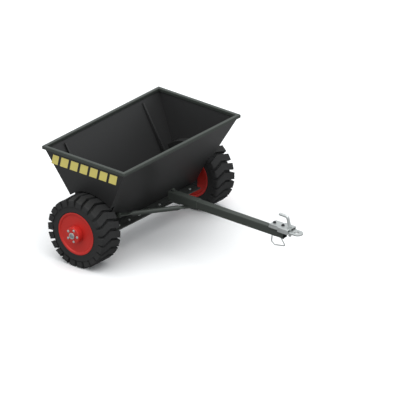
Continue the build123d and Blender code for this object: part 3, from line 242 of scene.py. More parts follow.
def spangle_group():
    """Zinc crystals with soft edges, and streaks of thin grey bloom."""
    tree, given, out = new_group(
        "Spangle",
        [("Vector", VECTOR, None), ("Colour", COLOUR, (.5, .5, .5, 1)), ("Crystal Scale", FLOAT, 130.0),
         ("Gloss", FLOAT, .4)],
        [("Colour", COLOUR), ("Roughness", FLOAT), ("Height", FLOAT)])
    vector = given.outputs["Vector"]
    crystals = add_node(
        tree, "ShaderNodeTexVoronoi", {"Vector": vector, "Scale": given.outputs["Crystal Scale"]},
        feature="F1").outputs["Color"]
    flake = add_node(tree, "ShaderNodeSeparateColor", {0: crystals}).outputs[0]
    bloom = spread(tree, noise(tree, vector, 28.0, 5.0, .65), 0, 1, .42, .66)
    lightness = maths(tree, "ADD", spread(tree, flake, .86, 1.12), maths(tree, "MULTIPLY", bloom, -.16))
    toned = add_node(tree, "ShaderNodeHueSaturation", {
        "Color": given.outputs["Colour"], "Value": lightness})
    rough = maths(tree, "ADD", given.outputs["Gloss"], spread(tree, flake, -.06, .08))
    rough = maths(tree, "ADD", rough, maths(tree, "MULTIPLY", bloom, .14))
    tree.links.new(toned.outputs[0], out.inputs["Colour"])
    tree.links.new(rough, out.inputs["Roughness"])
    tree.links.new(noise(tree, vector, 420.0, 3.0), out.inputs["Height"])
    return tree


GROUPS = {"Coat": coat_group, "Dust": dust_group, "Spangle": spangle_group}


def use_group(tree, name, inputs):
    """A group placed in a material with its own values; the group is built the first time."""
    made = tree.nodes.new("ShaderNodeGroup")
    made.node_tree = bpy.data.node_groups.get(name) or GROUPS[name]()
    for socket, value in inputs.items():
        if isinstance(value, bpy.types.NodeSocket):
            tree.links.new(value, made.inputs[socket])
        else:
            made.inputs[socket].default_value = value
    return made


def surface(name, shader_values):
    """An empty material: its tree, its shader and the object coordinates."""
    material = bpy.data.materials.new(name)
    material.use_nodes = True
    tree = material.node_tree
    shader = tree.nodes["Principled BSDF"]
    for socket, value in shader_values.items():
        shader.inputs[socket].default_value = value
    where = tree.nodes.new("ShaderNodeTexCoord").outputs["Object"]
    return material, tree, shader, where


def join_shader(tree, shader, base, rough, height, depth):
    """Links a surface's colour, roughness and bump to its shader."""
    bump = add_node(tree, "ShaderNodeBump", {"Height": height, "Distance": depth, "Strength": 1.0})
    tree.links.new(base, shader.inputs["Base Color"])
    tree.links.new(rough, shader.inputs["Roughness"])
    tree.links.new(bump.outputs[0], shader.inputs["Normal"])


def rgba(triple, scale=1.0):
    """A colour setting as four numbers."""
    return (*(part * scale for part in triple), 1.0)


def painted(name, tint, gloss, values=None, drift=.16, patch=6.0, grain=700.0, depth=.00012,
            rub=.12, dust=.25, all_round=.06, inside=None):
    """Paint, enamel or moulded plastic; the optional sky-light colour is painted light, mixed into sheet
    faces that look up.
    """
    finishes = bpy.context.scene.spreader_finishes
    material, tree, shader, where = surface(name, values or {"Specular IOR Level": .5})
    coat = use_group(tree, "Coat", {
        "Vector": where, "Colour": rgba(tint), "Drift": drift, "Patch Scale": patch,
        "Grain Scale": grain, "Gloss": gloss, "Rub": rub})
    base = coat.outputs["Colour"]
    # Painted light: faces that look up are mixed toward a paler, bluer colour that stands in for the sky's
    # light on them.
    if inside:
        facing = add_node(tree, "ShaderNodeNewGeometry").outputs["Normal"]
        upward = add_node(tree, "ShaderNodeSeparateXYZ", {0: facing}).outputs[2]
        base = mix_colours(tree, spread(tree, upward, 0, 1, .02, .10), base, rgba(inside))
    dusty = use_group(tree, "Dust", {
        "Vector": where, "Colour": base, "Roughness": coat.outputs["Roughness"],
        "Dust": rgba(finishes.dust), "Amount": dust, "All Round": all_round})
    join_shader(tree, shader, dusty.outputs["Colour"], dusty.outputs["Roughness"],
                coat.outputs["Height"], depth)
    return material


def bare_metal(name, tint, gloss, metallic, crystal=130.0, depth=.00008, dust=.12):
    """Zinc, galvanised or bright steel."""
    finishes = bpy.context.scene.spreader_finishes
    material, tree, shader, where = surface(name, {"Metallic": metallic, "Specular IOR Level": .5})
    skin = use_group(tree, "Spangle", {
        "Vector": where, "Colour": rgba(tint), "Crystal Scale": crystal, "Gloss": gloss})
    dusty = use_group(tree, "Dust", {
        "Vector": where, "Colour": skin.outputs["Colour"], "Roughness": skin.outputs["Roughness"],
        "Dust": rgba(finishes.dust), "Amount": dust, "All Round": .05})
    join_shader(tree, shader, dusty.outputs["Colour"], dusty.outputs["Roughness"],
                skin.outputs["Height"], depth)
    return material


def make_finish(name):
    """Builds one named finish from the user's colours."""
    tint = bpy.context.scene.spreader_finishes
    satin = {"Specular IOR Level": .5, "Coat Weight": .12, "Coat Roughness": .32}
    enamel = {"Specular IOR Level": .5, "Coat Weight": .5, "Coat Roughness": .12}
    if name == "hopper_paint":
        return painted(name, tint.hopper, .46, satin, drift=.20, patch=4.5, dust=.10, rub=.16,
                       inside=tint.inside)
    if name == "frame_paint":
        return painted(name, tint.trim, .44, satin, drift=.12, patch=8.0, dust=.20)
    if name == "drawbar_paint":
        return painted(name, tint.trim, .46, satin, drift=.14, patch=9.0, dust=.18, rub=.2)
    if name == "plate_paint":
        # Painted light: a copy of the frame paint made 1.7 times paler, so that plates in the hopper's
        # shade look lit.
        painted_light_trim = [part * 1.7 for part in tint.trim]
        return painted(name, painted_light_trim, .52, satin, drift=.18, patch=11.0, dust=.30, rub=.2)
    if name == "roller_paint":
        return painted(name, tint.trim, .5, drift=.2, dust=.4, rub=.5)
    if name == "bearing_iron":
        return painted(name, tint.trim, .6, drift=.25, grain=260.0, depth=.0004, dust=.3)
    if name == "weld_paint":
        return painted(name, tint.trim, .5, satin, drift=.2, patch=60.0, dust=.2)
    if name == "red_paint":
        return painted(name, tint.wheel, .30, enamel, drift=.05, patch=7.0, depth=.00006, rub=.03,
                       dust=.04, all_round=.02)
    if name == "red_paint_hub":
        return painted(name, tint.wheel, .33, enamel, drift=.06, patch=12.0, depth=.00012, rub=.04,
                       dust=.05, all_round=.02)
    if name == "tyre_rubber":
        return painted(name, tint.rubber, .66, {"Specular IOR Level": .42}, drift=.24, patch=14.0,
                       grain=520.0, depth=.00022, rub=.5, dust=.16, all_round=.32)
    if name == "lip_rubber":
        return painted(name, tint.rubber, .74, {"Specular IOR Level": .35}, drift=.2, grain=420.0,
                       depth=.0002)
    if name == "black_plastic":
        return painted(name, (.014, .014, .015), .42, drift=.1, grain=480.0, depth=.0002, dust=.1)
    if name == "yellow_film":
        return painted(name, tint.film, .36, {"Specular IOR Level": .5, "Coat Weight": .2}, drift=.07,
                       patch=18.0, depth=.00003, rub=.05, dust=.03)
    if name == "film_border":
        return painted(name, (.02, .02, .018), .40, drift=.1, patch=20.0, depth=.00003, rub=.1, dust=.05)
    if name == "galvanised_steel":
        return bare_metal(name, tint.galvanised, .46, .55)
    if name == "zinc_fasteners":
        return bare_metal(name, tint.zinc, .32, .8, crystal=420.0)
    if name == "black_fasteners":
        return painted(name, (.016, .016, .017), .38, {"Metallic": .5}, drift=.2, rub=.6, grain=900.0)
    if name == "axle_steel":
        return bare_metal(name, (.30, .31, .32), .30, .9, crystal=700.0)
    raise RuntimeError(f"no finish is named {name}")


def finish(name):
    """The material of a finish, built the first time that it is asked for."""
    return bpy.data.materials.get(name) or make_finish(name)


def dress(material_name, *nodes):
    """Gives CAD nodes that stay in view their finish."""
    for name in nodes:
        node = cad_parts[name]
        if node.material_slots:
            for each in node.material_slots:
                each.material = finish(material_name)
        else:
            raise RuntimeError(f"{name} has no material slot")


# ---------------------------------------------------------------- mesh helpers
def new_piece(name, bm, body, finishes, instead_of=(), sharp=35.0, outward=True):
    """Closes a bmesh into a piece that rides on a body and stands for its CAD nodes."""
    if outward:
        bmesh.ops.recalc_face_normals(bm, faces=bm.faces)
    mesh = bpy.data.meshes.new(name)
    bm.to_mesh(mesh)
    bm.free()
    piece = bpy.data.objects.new(name, mesh)
    bpy.context.scene.collection.objects.link(piece)
    for each in finishes:
        mesh.materials.append(finish(each))
    mesh.polygons.foreach_set("use_smooth", [True] * len(mesh.polygons))
    mesh.set_sharp_from_angle(angle=radians(sharp))
    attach(piece, body)
    if instead_of:
        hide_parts(*instead_of)
    return piece


def softened(node, body, material_name, width, sharp=32.0):
    """A CAD node's shape with its cut edges rounded over."""
    bm = bmesh.new()
    bm.from_mesh(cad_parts[node].data)
    bmesh.ops.remove_doubles(bm, verts=bm.verts, dist=MERGE)
    bmesh.ops.dissolve_limit(bm, angle_limit=radians(.5), verts=bm.verts, edges=bm.edges)
    edges = [e for e in bm.edges if e.is_manifold and e.calc_face_angle() > radians(sharp)]
    bmesh.ops.bevel(bm, geom=edges, offset=width, segments=2, profile=.5, affect="EDGES",
                    clamp_overlap=False, material=-1)
    bmesh.ops.triangulate(bm, faces=[f for f in bm.faces if len(f.verts) > 4])
    return new_piece(f"{node}_edged", bm, body, [material_name], [node], outward=False)


def revolve(bm, outline, middle, hand=1, steps=96):
    """Turns a closed outline of (distance along, radius) points round the axle's line."""
    start = set(bm.verts)
    verts = [bm.verts.new((hand * along, 0, radius)) for along, radius in outline]
    edges = [bm.edges.new(pair) for pair in zip(verts, verts[1:] + verts[:1])]
    bmesh.ops.spin(bm, geom=verts + edges, cent=(0, 0, 0), axis=(1, 0, 0), angle=tau, steps=steps,
                   use_merge=True)
    made = [v for v in bm.verts if v not in start]
    bmesh.ops.remove_doubles(bm, verts=made, dist=MERGE)
    made = [v for v in bm.verts if v not in start]
    bmesh.ops.translate(bm, verts=made, vec=middle)


def solids_of(node):
    """Low and high corners of each separate solid in a CAD node, in order along X then Y."""
    bm = bmesh.new()
    bm.from_mesh(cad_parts[node].data)
    bmesh.ops.remove_doubles(bm, verts=bm.verts, dist=MERGE)
    left = set(bm.verts)
    found = []
    while left:
        island = {left.pop()}
        edge = list(island)
        while edge:
            near = {e.other_vert(v) for v in edge for e in v.link_edges} & left
            left -= near
            island |= near
            edge = list(near)
        corners = [[min(v.co[i] for v in island) for i in range(3)],
                   [max(v.co[i] for v in island) for i in range(3)]]
        found.append((Vector(corners[0]), Vector(corners[1])))
    bm.free()
    return sorted(found, key=lambda pair: (round(pair[0].x, 4), round(pair[0].y, 4)))


def hexagon(bm, place, radius, height, crown=.0011):
    """A hexagon standing on a place, its top corners taken off."""
    raised = place @ Matrix.Translation((0, 0, height / 2))
    made = bmesh.ops.create_cone(bm, cap_ends=True, segments=6, radius1=radius, radius2=radius,
                                 depth=height, matrix=raised)["verts"]
    up = (place.to_3x3() @ Vector((0, 0, 1))).normalized()
    top = max((v.co.dot(up) for v in made))
    rim = [e for e in {e for v in made for e in v.link_edges}
           if all(abs(v.co.dot(up) - top) < MERGE for v in e.verts)]
    bmesh.ops.bevel(bm, geom=rim, offset=crown, segments=1, profile=.5, affect="EDGES", material=-1)


def rod(bm, place, radius, height, segments=20, crown=0.0):
    """A round rod or washer standing on a place; crown takes its top edge off."""
    raised = place @ Matrix.Translation((0, 0, height / 2))
    made = bmesh.ops.create_cone(bm, cap_ends=True, segments=segments, radius1=radius, radius2=radius,
                                 depth=height, matrix=raised)["verts"]
    if crown:
        rims = [e for e in {e for v in made for e in v.link_edges}
                if any(len(f.verts) > 4 for f in e.link_faces)]
        bmesh.ops.bevel(bm, geom=rims, offset=crown, segments=1, profile=.5, affect="EDGES", material=-1)


WASHER = .0014


def fastener(bm, low, high, axis, flip=False, head=.0055, nut=.0055, tail=.003, shank=.004, turn=0.0):
    """A bolt filling a box: washer and head at one end, washer, nut and thread end at the other."""
    middle = (low + high) / 2
    extent = high - low
    length_ = extent["XYZ".index(axis)]
    cross = [extent[i] for i in range(3) if i != "XYZ".index(axis)]
    radius = max(cross) / 2
    aim = {"X": Matrix.Rotation(pi / 2, 4, "Y"), "Z": Matrix.Identity(4)}[axis]
    if flip:
        aim = Matrix.Rotation(pi, 4, "X" if axis == "Z" else "Z") @ aim
    start = Matrix.Translation(middle) @ aim @ Matrix.Rotation(turn, 4, "Z")
    foot = start @ Matrix.Translation((0, 0, -length_ / 2))
    rod(bm, foot, shank, length_ - head, crown=.0006)
    face = foot @ Matrix.Translation((0, 0, length_ - head))
    rod(bm, face, radius * 1.12, WASHER, 28, .0003)
    hexagon(bm, face @ Matrix.Translation((0, 0, WASHER)), radius, head - WASHER)
    if nut:
        seat = foot @ Matrix.Translation((0, 0, tail))
        hexagon(bm, seat @ Matrix.Translation((0, 0, nut - WASHER)) @ Matrix.Rotation(pi, 4, "X"),
                radius, nut - WASHER)
        rod(bm, seat @ Matrix.Translation((0, 0, nut - WASHER)), radius * 1.12, WASHER, 28, .0003)


def bead(bm, start, end, radius, pitch=.0045, around=8):
    """A rippled weld bead between two points, closed at its ends."""
    start, end = Vector(start), Vector(end)
    run = end - start
    ripples = max(3, round(run.length / pitch))
    along = 3 * ripples
    turn = run.to_track_quat("Z", "Y").to_matrix().to_4x4()
    made = bmesh.ops.create_grid(bm, x_segments=along, y_segments=around, size=.5)["verts"]
    for vert in made:
        share = vert.co.x + .5
        angle = vert.co.y * tau
        ripple = .84 + .16 * abs(sin(pi * share * ripples))
        ends = sqrt(max(0.0, 1 - abs(2 * share - 1) ** 24))
        reach = radius * ripple * ends
        vert.co = (reach * cos(angle), reach * sin(angle), share * run.length)
    bmesh.ops.transform(bm, matrix=Matrix.Translation(start) @ turn, verts=made)
    bmesh.ops.remove_doubles(bm, verts=made, dist=MERGE)


# ---------------------------------------------------------------- tyres
def lug_top(across):
    """Radius of the tread over a distance from the tyre's middle, falling away at the shoulder."""
    past = max(0.0, abs(across) - (TYRE_HALF - SHOULDER)) / SHOULDER
    return TYRE_R - SHOULDER_FALL * (1 - sqrt(max(0.0, 1 - past * past)))


def lug_root(across):
    """Radius of a lug's foot: under the groove's floor, and down the side wall at its ends."""
    past = max(0.0, abs(across) - LUG_END_FROM) / (TYRE_HALF - LUG_END_FROM)
    return TYRE_R - TREAD_DEPTH - LUG_SINK - LUG_END_FALL * past * past


def add_lug(bm, middle, angle, sizes):
    """One chevron lug: a slab of grid, raised, rounded and wrapped round the tyre."""
    made = bmesh.ops.create_grid(bm, x_segments=16, y_segments=3, size=.5)["verts"]
    faces = list({f for v in made for f in v.link_faces})
    raised = bmesh.ops.extrude_face_region(bm, geom=faces, use_keep_orig=True)["geom"]
    top = [g for g in raised if isinstance(g, bmesh.types.BMVert)]
    bmesh.ops.translate(bm, verts=top, vec=(0, 0, 1))
    block = made + top
    for vert in block:
        across = TYRE_HALF * sin(pi * vert.co.x)
        taper = 1 - .07 * vert.co.z
        trail = vert.co.y * sizes.lug_length * taper - sizes.lug_rise * (abs(across) / TYRE_HALF - .5)
        radius = lug_top(across) if vert.co.z > .5 else lug_root(across)
        turn = angle + trail / TYRE_R
        vert.co = (across, radius * sin(turn), radius * cos(turn))
    top_set = set(top)
    border = [e for e in {e for v in top for e in v.link_edges}
              if e.is_manifold and e.calc_face_angle() > radians(40) and any(v in top_set for v in e.verts)]
    bevelled = bmesh.ops.bevel(bm, geom=border, offset=sizes.lug_rounding, segments=2, profile=.5,
                               affect="EDGES", clamp_overlap=True, material=-1)
    every = set(block) | set(bevelled["verts"])
    bmesh.ops.translate(bm, verts=[v for v in every if v.is_valid], vec=middle)


SIDE_WALL = (
    (.0720, .1180), (.0720, .1290), (.0738, .1310), (.0748, .1350), (.0750, .1385), (.0742, .1398),
    (.0750, .1460), (.0752, .1540), (.0746, .1610), (.0752, .1622), (.0752, .1645), (.0740, .1658),
    (.0715, .1720), (.0665, .1785), (.0580, .1830), (.0450, .1850))


class SPREADER_OT_tyres(bpy.types.Operator):
    """Build both tyres: carcass, side wall rings and chevron lugs"""
    bl_idname = "spreader.tyres"
    bl_label = "Tyres"

    def execute(self, context):
        sizes = context.scene.spreader_sizes
        for side_name, side in SIDES:
            bm = bmesh.new()
            middle = AXLE + Vector((side * WHEEL_X, 0, 0))
            outline = [*SIDE_WALL, *((-along, radius) for along, radius in reversed(SIDE_WALL))]
            revolve(bm, outline, middle, steps=120)
            for lug in range(sizes.lugs):
                add_lug(bm, middle, tau * (lug + .5) / sizes.lugs + FIRST_GROOVE / TYRE_R, sizes)
            body = "drive_axle" if side < 0 else "free_wheel"
            new_piece(f"{side_name}_tyre_lugged", bm, body, ["tyre_rubber"], [f"{side_name}_tyre"],
                      sharp=42)
        return {"FINISHED"}


# ---------------------------------------------------------------- wheels
RIM_OUTLINE = (
    (DISC, HUB_R - .005), (DISC, .1085), (DISC + .0008, .1125), (DISC + .0035, .1152), (.0745, .1172),
    (.0758, .1200), (.0758, .1262), (.0748, .1276), (.0732, .1272), (.0722, .1182), (-.0722, .1182),
    (-.0732, .1272), (-.0748, .1276), (-.0758, .1262), (-.0758, .1200), (-.0745, .1172),
    (-.0690, .1152), (-INNER_DISC, .1150), (-INNER_DISC, INNER_DISC_BORE),
    (INNER_DISC_GAUGE - INNER_DISC, INNER_DISC_BORE), (INNER_DISC_GAUGE - INNER_DISC, .1150),
    (DISC - .010, .1150), (DISC - .005, .1110), (DISC - DISC_GAUGE, .104),
    (DISC - DISC_GAUGE, HUB_R - .005))


class SPREADER_OT_wheels(bpy.types.Operator):
    """Build both wheels: pressed rims, hubs, hub bolts and the ends of the axle"""
    bl_idname = "spreader.wheels"
    bl_label = "Wheels"

    def execute(self, context):
        for side_name, side in SIDES:
            body = "drive_axle" if side < 0 else "free_wheel"
            middle = AXLE + Vector((side * WHEEL_X, 0, 0))
            bm = bmesh.new()
            revolve(bm, RIM_OUTLINE, middle, hand=side, steps=112)
            new_piece(f"{side_name}_wheel_pressed", bm, body, ["red_paint"],
                      [f"{side_name}_wheel_rim"], sharp=30)
            softened(f"{side_name}_hub", body, "red_paint_hub", .0014)
            bm = bmesh.new()
            for low, high in solids_of(f"{side_name}_hub_bolts"):
                fastener(bm, low, high, "X", flip=side < 0, head=.0045, nut=.005, tail=0)
            new_piece(f"{side_name}_hub_screws", bm, body, ["zinc_fasteners"], [f"{side_name}_hub_bolts"])
        dress("axle_steel", "axle_shaft")
        softened("axle_collars", "drive_axle", "zinc_fasteners", .0012)
        dress("zinc_fasteners", "drive_pin")
        softened("feed_roller", "drive_axle", "roller_paint", .0006)
        return {"FINISHED"}


# ---------------------------------------------------------------- hopper
class SPREADER_OT_top_frame(bpy.types.Operator):
    """Build the top frame as one ring of square tube with rounded corners and dressed mitre welds"""
    bl_idname = "spreader.top_frame"
    bl_label = "Top frame"

    def execute(self, context):
        sizes = context.scene.spreader_sizes
        front_low, front_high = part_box("frame_front_tube")
        _, back_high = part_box("frame_back_tube")
        tube = front_high.z - front_low.z
        half_x = front_high.x - tube / 2
        half_y = (back_high.y - front_low.y) / 2 - tube / 2
        middle = Vector((0, (front_low.y + back_high.y) / 2, front_low.z + tube / 2))
        bm = bmesh.new()
        start = bmesh.ops.create_grid(
            bm, x_segments=1, y_segments=1, size=tube / 2,
            matrix=Matrix.Translation((tube, 0, 0)) @ Matrix.Rotation(pi / 2, 4, "X"))["verts"]
        bmesh.ops.bevel(bm, geom=start, offset=sizes.tube_rounding, segments=3, profile=.5,
                        affect="VERTICES", material=-1)
        for vert in bm.verts:
            vert.co.x = tube + (vert.co.x - tube) * sqrt(2)
        section = list(bm.verts)
        bmesh.ops.rotate(bm, verts=section, cent=(0, 0, 0), matrix=Matrix.Rotation(pi / 4, 3, "Z"))
        faces = list(bm.faces)
        edges = list(bm.edges)
        bmesh.ops.delete(bm, geom=faces, context="FACES_ONLY")
        bmesh.ops.spin(bm, geom=section + edges, cent=(0, 0, 0), axis=(0, 0, 1), angle=tau, steps=4,
                       use_merge=True)
        bmesh.ops.remove_doubles(bm, verts=bm.verts, dist=MERGE)
        inset = tube / sqrt(2)
        for hand_x in (-1, 1):
            for hand_y in (-1, 1):
                corner = [v for v in bm.verts if v.co.x * hand_x > 0 and v.co.y * hand_y > 0]
                shift = (hand_x * (half_x - inset), hand_y * (half_y - inset), 0)
                bmesh.ops.translate(bm, verts=corner, vec=shift)
        bmesh.ops.translate(bm, verts=bm.verts, vec=middle)
        new_piece("top_frame_ring", bm, "chassis", ["frame_paint"],
                  ["frame_front_tube", "frame_back_tube", "frame_left_tube", "frame_right_tube"])
        bm = bmesh.new()
        top = front_high.z - .0006
        for hand_x in (-1, 1):
            for hand_y in (-1, 1):
                outer, inner = (
                    Vector((hand_x * (half_x + reach), middle.y + hand_y * (half_y + reach), top))
                    for reach in (tube / 2 - .002, .002 - tube / 2))
                bead(bm, outer, inner, .0008)
        new_piece("mitre_welds", bm, "chassis", ["weld_paint"])
        return {"FINISHED"}


class SPREADER_OT_hopper(bpy.types.Operator):
    """Finish the hopper's sheets, wheel arches and ribs"""
    bl_idname = "spreader.hopper"
    bl_label = "Hopper"

    def execute(self, context):
        dress("hopper_paint", "front_wall", "back_wall", "left_end_wall", "right_end_wall",
              "left_wheel_arch", "right_wheel_arch", "left_floor_plate", "right_floor_plate")
        for end in ("front", "back"):
            for side_name, _ in SIDES:
                softened(f"{end}_{side_name}_rib", "chassis", "hopper_paint", .0007)
        return {"FINISHED"}


class SPREADER_OT_outlet(bpy.types.Operator):
    """Round the edges of the outlet's plates and bearings, and finish its rubber lips"""
    bl_idname = "spreader.outlet"
    bl_label = "Outlet"

    def execute(self, context):
        rounding = context.scene.spreader_sizes.plate_rounding
        for node in ("front_base_plate", "back_base_plate", "front_clamp_bar"):
            softened(node, "chassis", "plate_paint", rounding)
        for side_name, _ in SIDES:
            softened(f"{side_name}_bearing_plate", "chassis", "hopper_paint", rounding)
            softened(f"{side_name}_bearing", "chassis", "bearing_iron", .0015)
        dress("lip_rubber", "front_rubber_lip", "gate_rubber_lip")
        return {"FINISHED"}


class SPREADER_OT_marker_film(bpy.types.Operator):
    """Lay the yellow marker blocks, each with its dark border, on the end sheets"""
    bl_idname = "spreader.marker_film"
    bl_label = "Marker film"

    def execute(self, context):
        border = context.scene.spreader_sizes.film_border
        bm = bmesh.new()
        for low, high in solids_of("marker_blocks"):
            right = low.x > 0
            top_x = high.x if right else low.x
            foot_x = low.x + FILM_GAUGE if right else high.x - FILM_GAUGE
            places = ((top_x, low.y, high.z), (top_x, high.y - FILM_LEAN, high.z),
                      (foot_x, high.y, low.z), (foot_x, low.y + FILM_LEAN, low.z))
            face = bm.faces.new([bm.verts.new(place) for place in places])
            face.normal_update()
            if (face.normal.x > 0) != right:
                face.normal_flip()
            made = bmesh.ops.inset_individual(bm, faces=[face], thickness=border, use_even_offset=True)
            for ring in made["faces"]:
                ring.material_index = 1
        bmesh.ops.solidify(bm, geom=list(bm.faces), thickness=FILM_GAUGE * .9)
        new_piece("marker_film", bm, "chassis", ["yellow_film", "film_border"], ["marker_blocks"])
        return {"FINISHED"}


# ---------------------------------------------------------------- drawbar and hitch
class SPREADER_OT_drawbar(bpy.types.Operator):
    """Finish the drawbar, its sleeve, support and diagonal brace, with their welds"""
    bl_idname = "spreader.drawbar"
    bl_label = "Drawbar"

    def execute(self, context):
        sizes = context.scene.spreader_sizes
        dress("drawbar_paint", "drawbar_tube", "drawbar_sleeve", "diagonal_brace")
        softened("drawbar_support", "chassis", "drawbar_paint", sizes.plate_rounding)
        softened("brace_bracket", "chassis", "drawbar_paint", sizes.plate_rounding)
        bm = bmesh.new()
        low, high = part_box("drawbar_sleeve")
        tube_low, tube_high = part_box("drawbar_tube")
        inset = .006
        face = low.y
        corners = ((tube_low.x, tube_low.z), (tube_high.x, tube_low.z), (tube_high.x, tube_high.z),
                   (tube_low.x, tube_high.z))
        for (x0, z0), (x1, z1) in zip(corners, corners[1:] + corners[:1]):
            step = Vector((x1 - x0, 0, z1 - z0)).normalized() * inset
            bead(bm, Vector((x0, face, z0)) + step, Vector((x1, face, z1)) - step, .0012)
        support_low, support_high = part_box("drawbar_support")
        for hand in (-1, 1):
            edge_x = hand * (support_high.x - support_low.x) / 2
            bead(bm, (edge_x, support_low.y + .004, support_high.z),
                 (edge_x, support_low.y + .070, support_high.z), .0022)
        foot = Vector((0, support_high.y, support_low.z))
        bead(bm, foot + Vector((support_low.x + .003, 0, .0012)),
             foot + Vector((support_high.x - .003, 0, .0012)), .0024)
        bracket_low, bracket_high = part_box("brace_bracket")
        bead(bm, (bracket_low.x + .002, bracket_high.y - .003, bracket_low.z + .001),
             (bracket_high.x - .002, bracket_high.y - .003, bracket_low.z + .001), sizes.bead)
        new_piece("drawbar_welds", bm, "chassis", ["weld_paint"])
        return {"FINISHED"}


class SPREADER_OT_hitch(bpy.types.Operator):
    """Build the galvanised tongue, spacer and clevis, the pin and the chain stirrup"""
    bl_idname = "spreader.hitch"
    bl_label = "Hitch"

    def execute(self, context):
        for node, width in (("tongue_plate", .0014), ("hitch_spacer", .0008), ("hitch_clevis", .0012)):
            softened(node, "chassis", "galvanised_steel", width)
        dress("galvanised_steel", "hitch_pin", "chain_stirrup")
        low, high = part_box("chain_stirrup")
        bm = bmesh.new()
        for reach in (low.y + .034, high.y - .006):
            rod(bm, Matrix.Translation((0, reach, high.z - .0035)), .0062, .0034, 18, .0018)
        new_piece("stirrup_welds", bm, "chassis", ["galvanised_steel"])
        return {"FINISHED"}


# ---------------------------------------------------------------- gate lever and fasteners
class SPREADER_OT_gate_lever(bpy.types.Operator):
    """Build the metering gate's lever, quadrant, grip and clamping knob"""
    bl_idname = "spreader.gate_lever"
    bl_label = "Gate lever"

    def execute(self, context):
        rounding = context.scene.spreader_sizes.plate_rounding
        softened("gate_quadrant", "chassis", "plate_paint", rounding)
        softened("gate_lever", "gate_lever", "zinc_fasteners", rounding)
        softened("metering_gate", "gate", "plate_paint", rounding)
        softened("clamp_knob", "gate_lever", "black_plastic", .0012)
        softened("lever_grip", "gate_lever", "black_plastic", .0008)
        return {"FINISHED"}


class SPREADER_OT_fasteners(bpy.types.Operator):
    """Fit every bolt with its washers, nut and thread end"""
    bl_idname = "spreader.fasteners"
    bl_label = "Fasteners"

    def execute(self, context):
        for node, values in (
                ("front_lip_bolts", {}), ("gate_shoulder_bolts", {}),
                ("hitch_bolts", {"head": .007, "nut": .007})):
            bm = bmesh.new()
            for index, (low, high) in enumerate(solids_of(node)):
                fastener(bm, low, high, "Z", turn=.37 * index, **values)
            finish_name = "black_fasteners" if node == "hitch_bolts" else "zinc_fasteners"
            new_piece(f"{node}_fitted", bm, "chassis", [finish_name], [node])
        bm = bmesh.new()
        bolts = solids_of("drawbar_bolts")
        for index, (low, high) in enumerate(bolts):
            rear = index == len(bolts) - 1
            values = {"head": .014, "nut": 0, "tail": 0} if rear else {"head": .007, "nut": .007}
            fastener(bm, low, high, "Z", turn=.5 * index, **values)
        new_piece("drawbar_bolts_fitted", bm, "chassis", ["drawbar_paint"], ["drawbar_bolts"])
        bm = bmesh.new()
        for low, high in solids_of("bearing_bolts"):
            fastener(bm, low, high, "X", flip=low.x < 0, nut=.0055, tail=0)
        new_piece("bearing_bolts_fitted", bm, "chassis", ["zinc_fasteners"], ["bearing_bolts"])
        softened("lever_pivot_bolt", "chassis", "zinc_fasteners", .0008)
        return {"FINISHED"}


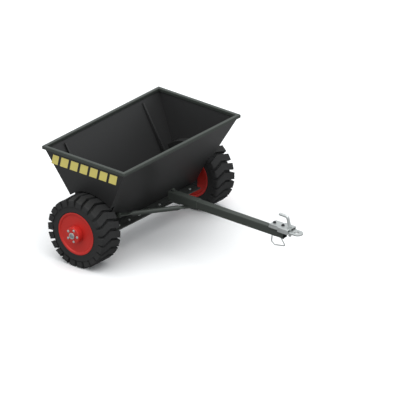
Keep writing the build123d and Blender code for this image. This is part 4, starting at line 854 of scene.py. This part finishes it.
# ---------------------------------------------------------------- stage
class SPREADER_OT_stage(bpy.types.Operator):
    """Lay the pale floor, set the soft lights and place the camera"""
    bl_idname = "spreader.stage"
    bl_label = "Stage"

    def execute(self, context):
        stage = context.scene.spreader_stage
        scene = context.scene
        bm = bmesh.new()
        bmesh.ops.create_grid(bm, x_segments=8, y_segments=8, size=9.0)
        mesh = bpy.data.meshes.new("studio_floor")
        bm.to_mesh(mesh)
        bm.free()
        floor = bpy.data.objects.new("studio_floor", mesh)
        scene.collection.objects.link(floor)
        material, tree, shader, _ = surface("floor_paper", {"Specular IOR Level": .1})
        seen = add_node(tree, "ShaderNodeLightPath").outputs["Is Camera Ray"]
        shade = spread(tree, seen, stage.bounce, stage.floor)
        tone = add_node(tree, "ShaderNodeCombineColor", {0: shade, 1: shade, 2: shade}).outputs[0]
        tree.links.new(tone, shader.inputs["Base Color"])
        shader.inputs["Roughness"].default_value = .9
        mesh.materials.append(material)
        lamp = bpy.data.lights.new("overhead", "SUN")
        lamp.energy = stage.key
        lamp.angle = stage.spread
        light = bpy.data.objects.new("overhead", lamp)
        light.rotation_euler = Vector((.15, .10, -1)).to_track_quat("-Z", "Y").to_euler()
        scene.collection.objects.link(light)
        world = bpy.data.worlds.new("studio_sky")
        world.use_nodes = True
        sky = world.node_tree.nodes["Background"]
        sky.inputs["Color"].default_value = (.95, .98, 1.0, 1.0)
        sky.inputs["Strength"].default_value = stage.sky
        scene.world = world
        scene.view_settings.view_transform = "Standard"
        camera = bpy.data.objects.new("camera", bpy.data.cameras.new("camera"))
        scene.collection.objects.link(camera)
        level = cos(stage.elevation)
        toward = Vector((level * sin(stage.azimuth), -level * cos(stage.azimuth), sin(stage.elevation)))
        camera.location = Vector(stage.aim) + 6 * toward
        camera.rotation_euler = (-toward).to_track_quat("-Z", "Y").to_euler()
        camera.data.type = "ORTHO"
        camera.data.ortho_scale = stage.width
        scene.camera = camera
        return {"FINISHED"}


OPERATORS = (
    SPREADER_OT_tyres, SPREADER_OT_wheels, SPREADER_OT_top_frame, SPREADER_OT_hopper, SPREADER_OT_outlet,
    SPREADER_OT_marker_film, SPREADER_OT_drawbar, SPREADER_OT_hitch, SPREADER_OT_gate_lever,
    SPREADER_OT_fasteners, SPREADER_OT_stage)
GROUP_TYPES = (
    ("spreader_finishes", SpreaderFinishes), ("spreader_sizes", SpreaderSizes),
    ("spreader_stage", SpreaderStage))


class SPREADER_PT_panel(bpy.types.Panel):
    """Settings and building steps of the spreader"""
    bl_label = "Spreader"
    bl_idname = "SPREADER_PT_panel"
    bl_space_type = "VIEW_3D"
    bl_region_type = "UI"
    bl_category = "Spreader"

    def draw(self, context):
        for holder, group in GROUP_TYPES:
            box = self.layout.box()
            settings = getattr(context.scene, holder)
            for name in group.__annotations__:
                box.prop(settings, name)
        for step in OPERATORS:
            self.layout.operator(step.bl_idname)


def register():
    """Registers the settings, the operators and the panel."""
    for holder, group in GROUP_TYPES:
        bpy.utils.register_class(group)
        setattr(bpy.types.Scene, holder, PointerProperty(type=group))
    for each in (*OPERATORS, SPREADER_PT_panel):
        bpy.utils.register_class(each)


def unregister():
    """Takes them out again."""
    for each in (SPREADER_PT_panel, *reversed(OPERATORS)):
        bpy.utils.unregister_class(each)
    for holder, group in reversed(GROUP_TYPES):
        delattr(bpy.types.Scene, holder)
        bpy.utils.unregister_class(group)


def main():
    register()
    for step in OPERATORS:
        group, name = step.bl_idname.split(".")
        getattr(getattr(bpy.ops, group), name)()


if __name__ == "__main__":
    main()
